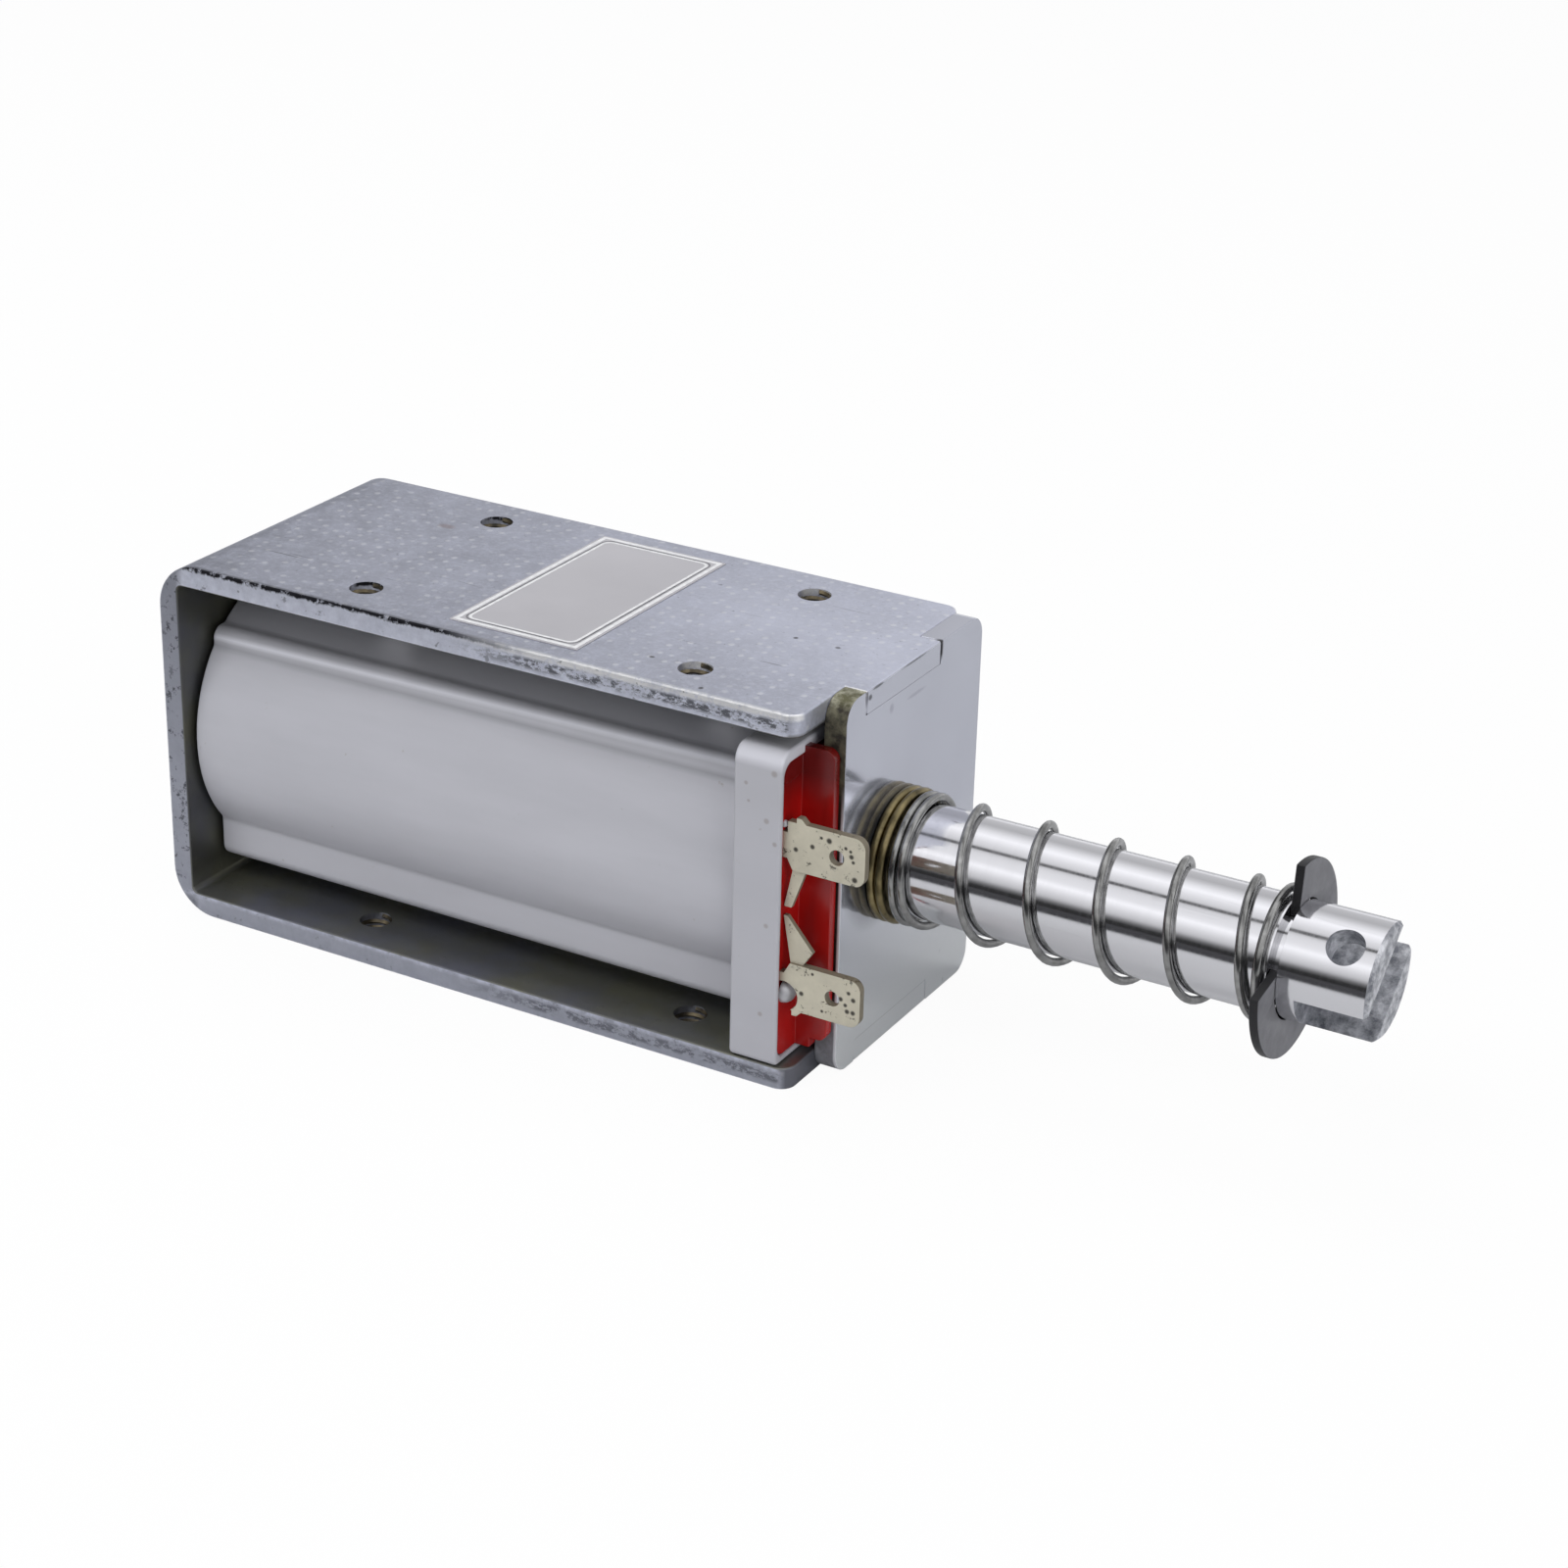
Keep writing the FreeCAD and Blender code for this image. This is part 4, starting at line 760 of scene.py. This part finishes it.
def coiled(bm, section, centre, axis, runs, steps_per_turn):
    """Winds a closed section about an axis: runs are pairs of turns and pitch."""
    ring = list(section)
    for turns, pitch in runs:
        steps = max(1, round(turns * steps_per_turn))
        made = bmesh.ops.spin(bm, geom=ring, cent=centre, axis=axis,
                              dvec=axis * (pitch * turns / steps), angle=math.tau * turns,
                              steps=steps, use_merge=False, use_duplicate=False)
        ring = made["geom_last"]
    return ring


# Pieces

# The label's printed lines stand this far above its foil and reach this deep
INK_HEIGHT = 0.015 * MM
INK_DEPTH = 0.03 * MM
# The guide tube's play round the plunger and its wall, and the corners drawn on a bead
TUBE_PLAY = 0.06 * MM
TUBE_WALL = 0.55 * MM
BEAD_STEPS = 8


class SOLENOID_OT_frame(bpy.types.Operator):
    """Softens the folded sheet's sheared edges and cuts threads into its mounting holes"""

    bl_idname = "solenoid.frame"
    bl_label = "Folded frame"

    def execute(self, context):
        softened("frame", "frame_sheet", "housing",
                 [ZincSheet().material, smooth_zinc()], details().edge_round,
                 second=self.tongue_end, keep=self.stays_sharp)
        bm = bmesh.new()
        for name in ("base_holes", "top_holes"):
            reach, radius = self.holes(name)
            start_z = FRAME_LOW.z if name == "base_holes" else FRAME_HIGH.z - SHEET
            for side_x in (-1, 1):
                for side_y in (-1, 1):
                    self.thread(bm, Vector((side_x * reach.x, side_y * reach.y, start_z)), radius)
        threads = to_mesh(bm, "hole_threads")
        new_piece("hole_threads", threads, "housing", [thread_zinc()], 50)
        return {"FINISHED"}

    def holes(self, name):
        """How far a mount's four holes lie from the middle, and their radius."""
        dims = named(frame["record"]["mounts"], name)["dims"]
        reach = Vector((dims["spacing_x_mm"], dims["spacing_y_mm"])) * MM / 2
        return reach, dims["hole_r_mm"] * MM

    def stays_sharp(self, edge):
        """True for the tongues' seams and the rims of the threaded holes."""
        reach, radius = self.holes("top_holes")
        away = [(Vector((abs(vert.co.x), abs(vert.co.y))) - reach).length for vert in edge.verts]
        return seam(edge) or max(away) < radius * 1.05

    def tongue_end(self, face):
        """True for the front ends of the tongues, which are ground flush with the plate."""
        return face.normal.x > 0.99 and face.calc_center_median().x > FRAME_HIGH.x - 0.1 * MM

    def thread(self, bm, foot, radius):
        """One hole's thread: a ridge wound up the wall of the hole, rooted a little in it."""
        pitch = details().thread_pitch
        wall = radius + 0.02 * MM
        turns = (SHEET - pitch) / pitch
        # Reach from the hole's axis and share of the pitch, for the root, crest and root
        outline = ((wall, 0.12), (radius - details().thread_height, 0.5), (wall, 0.88))
        section = drawn(bm, [foot + Vector((reach, 0, pitch * share))
                             for reach, share in outline])
        capped(bm, section)
        capped(bm, coiled(bm, section, foot, ALONG_Z, [(turns, pitch)], 20))


class SOLENOID_OT_front_plate(bpy.types.Operator):
    """Softens the front plate and gives its punched edges their stains and painted light"""

    bl_idname = "solenoid.front_plate"
    bl_label = "Front plate"

    def execute(self, context):
        softened("front_plate", "front_plate_skin", "housing",
                 [smooth_zinc(), punched_edge()], details().edge_round / 2,
                 second=self.near_edge, keep=seam)
        return {"FINISHED"}

    def near_edge(self, face):
        """True for the stained punched edges of the ear on the terminals' side."""
        return abs(face.normal.x) < 0.3 and face.calc_center_median().y < 0


class SOLENOID_OT_moulded(bpy.types.Operator):
    """Softens the edges of the moulded coil cover and the red bobbin"""

    bl_idname = "solenoid.moulded"
    bl_label = "Coil cover and bobbin"

    def execute(self, context):
        for node, slot, plastic in (("coil_cover", "pale_plastic", cover_plastic()),
                                    ("bobbin", "red_plastic", red_plastic())):
            softened(node, node + "_skin", "housing", [plastic],
                     details().moulded_round, 3)
        return {"FINISHED"}


class SOLENOID_OT_terminals(bpy.types.Operator):
    """Softens the stamped terminals and finishes their solder and leads"""

    bl_idname = "solenoid.terminals"
    bl_label = "Terminals"

    def execute(self, context):
        tin = tin_plate()
        for node in ("terminal_upper", "terminal_lower"):
            softened(node, node + "_blade", "housing", [tin],
                     details().fine_round)
        painted(solder_metal(), "solder_upper", "solder_lower")
        painted(copper_wire(), "lead_upper", "lead_lower", "winding")
        painted(tape_film(), "winding_tape")
        painted(fibre_sheet(), "rear_insulator")
        return {"FINISHED"}


class SOLENOID_OT_label(bpy.types.Operator):
    """Softens the blank label and lays the plain border lines round it"""

    bl_idname = "solenoid.label"
    bl_label = "Label"

    def execute(self, context):
        sizes = details()
        plate = softened("label", "label_plate", "housing", [label_foil()],
                         sizes.fine_round / 3)
        for vert in plate.data.vertices:
            vert.co.z = min(vert.co.z, LABEL_HIGH.z - INK_HEIGHT)
        width, corner = sizes.border_width, sizes.border_corner
        light = ((0.25 * MM, width, 0), (1.05 * MM, width * 0.7, corner))
        dark = ((0.85 * MM, width * 0.4, corner),)
        white = border_ink("border white", (0.84, 0.84, 0.84), (0.68, 0.68, 0.69))
        grey = border_ink("border grey", (0.22, 0.22, 0.23), (0.12, 0.12, 0.13))
        for name, lines, ink in (("label_border", light, white), ("label_line", dark, grey)):
            bm = bmesh.new()
            for line in lines:
                self.border(bm, *line)
            new_piece(name, to_mesh(bm, name), "housing", [ink])
        return {"FINISHED"}

    def border(self, bm, inset, width, corner):
        """A thin line round the label, at an inset from its edges."""
        matrix = (Matrix.Translation((0, 0, LABEL_HIGH.z))
                  @ Matrix.Diagonal((LABEL_HIGH.x - inset, LABEL_HIGH.y - inset, 1, 1)))
        outline = bmesh.ops.create_grid(bm, x_segments=1, y_segments=1, size=1,
                                        matrix=matrix)["verts"]
        if corner:
            outline = bmesh.ops.bevel(bm, geom=outline, offset=corner, offset_type="OFFSET",
                                      segments=6, profile=0.5, affect="VERTICES",
                                      material=-1)["verts"]
        middle = outline[0].link_faces[0]
        ring = bmesh.ops.inset_individual(bm, faces=[middle], thickness=width, depth=0,
                                          use_even_offset=True)["faces"]
        bmesh.ops.delete(bm, geom=[middle], context="FACES_ONLY")
        solid = bmesh.ops.extrude_face_region(bm, geom=ring, use_keep_orig=True)
        bmesh.ops.translate(bm, vec=(0, 0, -INK_DEPTH), verts=[
            item for item in solid["geom"] if isinstance(item, bmesh.types.BMVert)])


class SOLENOID_OT_guide(bpy.types.Operator):
    """Rolls the guide tube's collar and finishes the core and its dampers"""

    bl_idname = "solenoid.guide"
    bl_label = "Guide tube and core"

    def execute(self, context):
        inner = PLUNGER_RADIUS + TUBE_PLAY
        outer = inner + TUBE_WALL
        collar = (TUBE_HIGH.z - TUBE_LOW.z) / 2
        beads = details().collar_beads
        bead = (TUBE_HIGH.x - PLATE_HIGH.x) / beads
        outline = [(TUBE_LOW.x, inner), (TUBE_HIGH.x, inner)]
        for count in range(beads):
            middle = TUBE_HIGH.x - bead * (count + 0.5)
            for step in range(BEAD_STEPS + 1):
                angle = math.pi * (0.04 + 0.92 * step / BEAD_STEPS)
                outline.append((middle + bead / 2 * math.cos(angle),
                                outer + (collar - outer) * math.sin(angle)))
        outline += [(PLATE_HIGH.x, outer), (TUBE_LOW.x, outer)]
        bm = bmesh.new()
        bmesh.ops.spin(bm, geom=drawn(bm, [(x, 0, AXIS_Z + reach) for x, reach in outline]),
                       cent=(0, 0, AXIS_Z), axis=ALONG_X, dvec=(0, 0, 0), angle=math.tau,
                       steps=96, use_merge=True, use_duplicate=False)
        tube = new_piece("guide_tube_collar", to_mesh(bm, "guide_tube_collar"), "housing",
                         [dark_brass()], 40)
        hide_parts("guide_tube")
        painted(plain_steel(), "fixed_core", "push_rod", "end_washer")
        painted(black_rubber(), "seat_damper", "end_damper")
        return {"FINISHED"}


class SOLENOID_OT_spring(bpy.types.Operator):
    """Winds the return spring"""

    bl_idname = "solenoid.spring"
    bl_label = "Return spring"

    def execute(self, context):
        sizes = details()
        wire_r = sizes.wire / 2
        coil_r = (SPRING_HIGH.z - SPRING_LOW.z) / 2 - wire_r
        start_x = SPRING_LOW.x + wire_r
        end_x = SPRING_HIGH.x - wire_r
        closed = sizes.wire * 1.035
        opened = ((end_x - start_x - closed * (sizes.first_turns + sizes.last_turns))
                  / sizes.open_turns)
        # The pitch grows in three steps of this many turns each, between closed and open turns
        soft = 0.12
        ramp = [(soft, closed + (opened - closed) * share) for share in (0.25, 0.5, 0.75)]
        lost = soft * len(ramp) / 2
        runs = ([(sizes.first_turns - lost, closed)] + ramp
                + [(sizes.open_turns - 2 * lost, opened)] + ramp[::-1]
                + [(sizes.last_turns - lost, closed)])
        centre = Vector((0, 0, AXIS_Z))
        across = Vector((0, math.cos(sizes.spring_start), math.sin(sizes.spring_start)))
        start = centre + across * coil_r + ALONG_X * start_x
        bm = bmesh.new()
        heading = across.cross(ALONG_X)
        tilt = heading.to_track_quat("Z", "X").to_matrix().to_4x4()
        ring = bmesh.ops.create_circle(bm, cap_ends=True, segments=14, radius=wire_r,
                                       matrix=Matrix.Translation(start) @ tilt)["verts"]
        section = list(ring) + list({edge for vert in ring for edge in vert.link_edges})
        capped(bm, coiled(bm, section, centre, ALONG_X, runs, 48))
        spring = new_piece("spring_coil", to_mesh(bm, "spring_coil"), "housing",
                           [spring_wire()], 50)
        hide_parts("return_spring")
        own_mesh(spring)
        return {"FINISHED"}


class SOLENOID_OT_plunger(bpy.types.Operator):
    """Softens the plunger and its fork, and the clip in its groove"""

    bl_idname = "solenoid.plunger"
    bl_label = "Plunger"

    def execute(self, context):
        fine = details().fine_round
        softened("plunger", "plunger_bar", "armature",
                 [plunger_plate(), fork_cut()], fine, second=self.milled,
                 bar_radius=PLUNGER_RADIUS)
        dark = dark_steel()
        ring = softened("plunger_clip", "plunger_clip_ring", "slider", [dark], fine)
        # The ring's two reliefs are drawn in until they just clear the plunger's skin
        for vert in ring.data.vertices:
            out = from_axis(vert.co)
            if PLUNGER_RADIUS < out.length < PLUNGER_RADIUS * 1.25:
                vert.co -= out.normalized() * (out.length - PLUNGER_RADIUS) * 0.8
        painted(dark, "rod_clip")
        return {"FINISHED"}

    def milled(self, face):
        """True for the faces of the fork's slot, its cross hole and the plunger's end."""
        middle = face.calc_center_median()
        skin = (min(from_axis(vert.co).length for vert in face.verts) > PLUNGER_RADIUS - 0.02 * MM
                and face.normal.dot(from_axis(middle).normalized()) > 0.95)
        return middle.x > CLIP_HIGH.x + 0.2 * MM and not skin


# Stage

# Lamps: name, place and size in metres, and power in watts
LAMPS = (("key_light", (-0.15, -0.42, 0.62), 0.40, 2.7),
         ("top_light", (-0.25, 0.15, 0.60), 0.35, 1.2),
         ("front_light", (0.60, -0.25, 0.22), 0.45, 1.4))
LAMP_TARGET = Vector((0.01, 0, 0.02))
# Camera, fitted to the photo's view: place in metres, direction, roll in degrees and lens
CAMERA_PLACE = (0.162607, -0.252176, 0.154016)
CAMERA_VIEW = Vector((-0.44380, 0.79520, -0.41315))
CAMERA_ROLL = 1.52
CAMERA_LENS = 76.39
SENSOR_WIDTH = 36
# The floor's colour, and what shiny pieces mirror of it: in front, under the piece and behind
FLOOR_COLOR = (0.85, 0.85, 0.85)
FLOOR_FRONT = (0.02, 0.02, 0.023)
FLOOR_UNDER = (0.60, 0.60, 0.61)
FLOOR_BEHIND = (0.62, 0.62, 0.63)
# What shiny pieces mirror of the studio: degrees from the front (-Y) upwards, and brightness
STUDIO_BANDS = ((-180, 0.98), (-160, 1.12), (-90, 0.35), (-12, 0.3), (-7, 0.1), (-3, 0.03),
                (6, 0.03), (12, 0.18), (20, 0.60), (30, 0.80), (43, 1.12), (52, 0.90),
                (66, 0.82), (73, 0.70), (75, 0.12), (79, 0.12), (82, 0.70), (93, 0.85),
                (109, 1.12), (122, 0.88), (132, 0.66), (142, 0.50), (165, 0.58), (172, 0.76),
                (180, 0.98))


class SOLENOID_OT_stage(bpy.types.Operator):
    """Sets up the pale floor, the soft light and the camera"""

    bl_idname = "solenoid.stage"
    bl_label = "Stage"

    def execute(self, context):
        scene = context.scene
        self.floor()
        self.world(scene)
        for name, place, size, power in LAMPS:
            self.lamp(name, Vector(place), size, power)
        camera = bpy.data.objects.new("camera", bpy.data.cameras.new("camera"))
        scene.collection.objects.link(camera)
        camera.data.sensor_width = SENSOR_WIDTH
        camera.data.lens = CAMERA_LENS
        camera.data.clip_start = 0.01
        camera.location = CAMERA_PLACE
        camera.rotation_mode = "QUATERNION"
        roll = Quaternion((0, 0, 1), math.radians(CAMERA_ROLL))
        camera.rotation_quaternion = CAMERA_VIEW.to_track_quat("-Z", "Y") @ roll
        scene.camera = camera
        scene.view_settings.view_transform = "Standard"
        return {"FINISHED"}

    def lamp(self, name, place, size, power):
        """A square soft light turned to the solenoid, which shiny pieces don't mirror."""
        data = bpy.data.lights.new(name, "AREA")
        data.size = size
        data.energy = power
        light = bpy.data.objects.new(name, data)
        bpy.context.scene.collection.objects.link(light)
        light.location = place
        light.rotation_mode = "QUATERNION"
        light.rotation_quaternion = (LAMP_TARGET - place).to_track_quat("-Z", "Y")
        light.visible_glossy = False

    def floor(self):
        """A pale floor: white to the camera with a soft shadow, plain grey in reflections."""
        bm = bmesh.new()
        bmesh.ops.create_grid(bm, x_segments=1, y_segments=1, size=2.0,
                              matrix=Matrix.Translation((0, 0, FRAME_LOW.z - 0.01 * MM)))
        plane = bpy.data.objects.new("floor", to_mesh(bm, "floor"))
        bpy.context.scene.collection.objects.link(plane)
        made = Finish("floor white", FLOOR_COLOR, 0.0, 0.9)
        near = made.ramp(made.along[1], -0.100, -0.072)
        far = made.ramp(made.along[1], 0.06, 0.2)
        mirrored = made.blend(far, made.blend(near, FLOOR_FRONT, FLOOR_UNDER), FLOOR_BEHIND)
        path = made.node("ShaderNodeLightPath").outputs
        made.paint(made.blend(path["Is Glossy Ray"], FLOOR_COLOR, mirrored))
        glow = made.node("ShaderNodeEmission", [("Color", (1, 1, 1, 1)), ("Strength", 1.0)])
        mix = made.node("ShaderNodeMixShader", [
            (0, made.times(path["Is Camera Ray"], 0.95)), (1, made.shader.outputs[0]),
            (2, glow.outputs[0])])
        made.links.new(mix.outputs[0], made.nodes["Material Output"].inputs["Surface"])
        plane.data.materials.append(made.material)

    def world(self, scene):
        """White to the camera, plain light for dull surfaces, banded studio for shiny ones."""
        scene.world = bpy.data.worlds.new("studio")
        scene.world.use_nodes = True
        made = Nodes(scene.world.node_tree)
        made.nodes.clear()
        toward = made.node("ShaderNodeTexCoord").outputs["Generated"]
        toward = made.node("ShaderNodeSeparateXYZ", [(0, toward)]).outputs
        turn = made.maths("ARCTAN2", toward["Z"], made.times(toward["Y"], -1))
        bands = made.node("ShaderNodeValToRGB", [(0, made.ramp(turn, -math.pi, math.pi))])
        stops = bands.color_ramp.elements
        for spot, (degrees, level) in enumerate(STUDIO_BANDS):
            share = (degrees + 180) / 360
            stop = stops[spot] if spot < 2 else stops.new(share)
            stop.position = share
            stop.color = (level, level, level * 1.03, 1)
        side = made.ramp(toward["X"], -0.60, -0.40, 0.30, 1.05)
        white, plain, shiny = [
            made.node("ShaderNodeBackground", [("Color", color), ("Strength", strength)])
            for color, strength in (((1, 1, 1, 1), 1.0), ((0.93, 0.95, 1.0, 1), 0.42),
                                    (bands.outputs["Color"], side))]
        path = made.node("ShaderNodeLightPath").outputs
        inner = made.node("ShaderNodeMixShader", [
            (0, path["Is Glossy Ray"]), (1, plain.outputs[0]), (2, shiny.outputs[0])])
        outer = made.node("ShaderNodeMixShader", [
            (0, path["Is Camera Ray"]), (1, inner.outputs[0]), (2, white.outputs[0])])
        made.node("ShaderNodeOutputWorld", [("Surface", outer.outputs[0])])


class SOLENOID_PT_looks(bpy.types.Panel):
    """Lists the pieces and their sizes in the sidebar"""

    bl_idname = "SOLENOID_PT_looks"
    bl_label = "Solenoid"
    bl_space_type = "VIEW_3D"
    bl_region_type = "UI"
    bl_category = "Solenoid"

    def draw(self, context):
        layout = self.layout
        for operator in PIECES:
            layout.operator(operator.bl_idname)
        for group in (details(), finishes()):
            for key in group.__annotations__:
                layout.prop(group, key)


PIECES = (SOLENOID_OT_frame, SOLENOID_OT_front_plate, SOLENOID_OT_moulded,
          SOLENOID_OT_terminals, SOLENOID_OT_label, SOLENOID_OT_guide, SOLENOID_OT_spring,
          SOLENOID_OT_plunger, SOLENOID_OT_stage)
CLASSES = (SolenoidDetails, SolenoidFinishes, *PIECES, SOLENOID_PT_looks)


def register():
    """Adds the classes and their settings to Blender."""
    for entry in CLASSES:
        bpy.utils.register_class(entry)
    bpy.types.Scene.solenoid_details = PointerProperty(type=SolenoidDetails)
    bpy.types.Scene.solenoid_finishes = PointerProperty(type=SolenoidFinishes)


def unregister():
    """Takes the classes and their settings out of Blender."""
    del bpy.types.Scene.solenoid_finishes
    del bpy.types.Scene.solenoid_details
    for entry in reversed(CLASSES):
        bpy.utils.unregister_class(entry)


def main():
    """Makes every piece and the stage."""
    register()
    for operator in PIECES:
        group, name = operator.bl_idname.split(".")
        getattr(getattr(bpy.ops, group), name)()


if __name__ == "__main__":
    main()
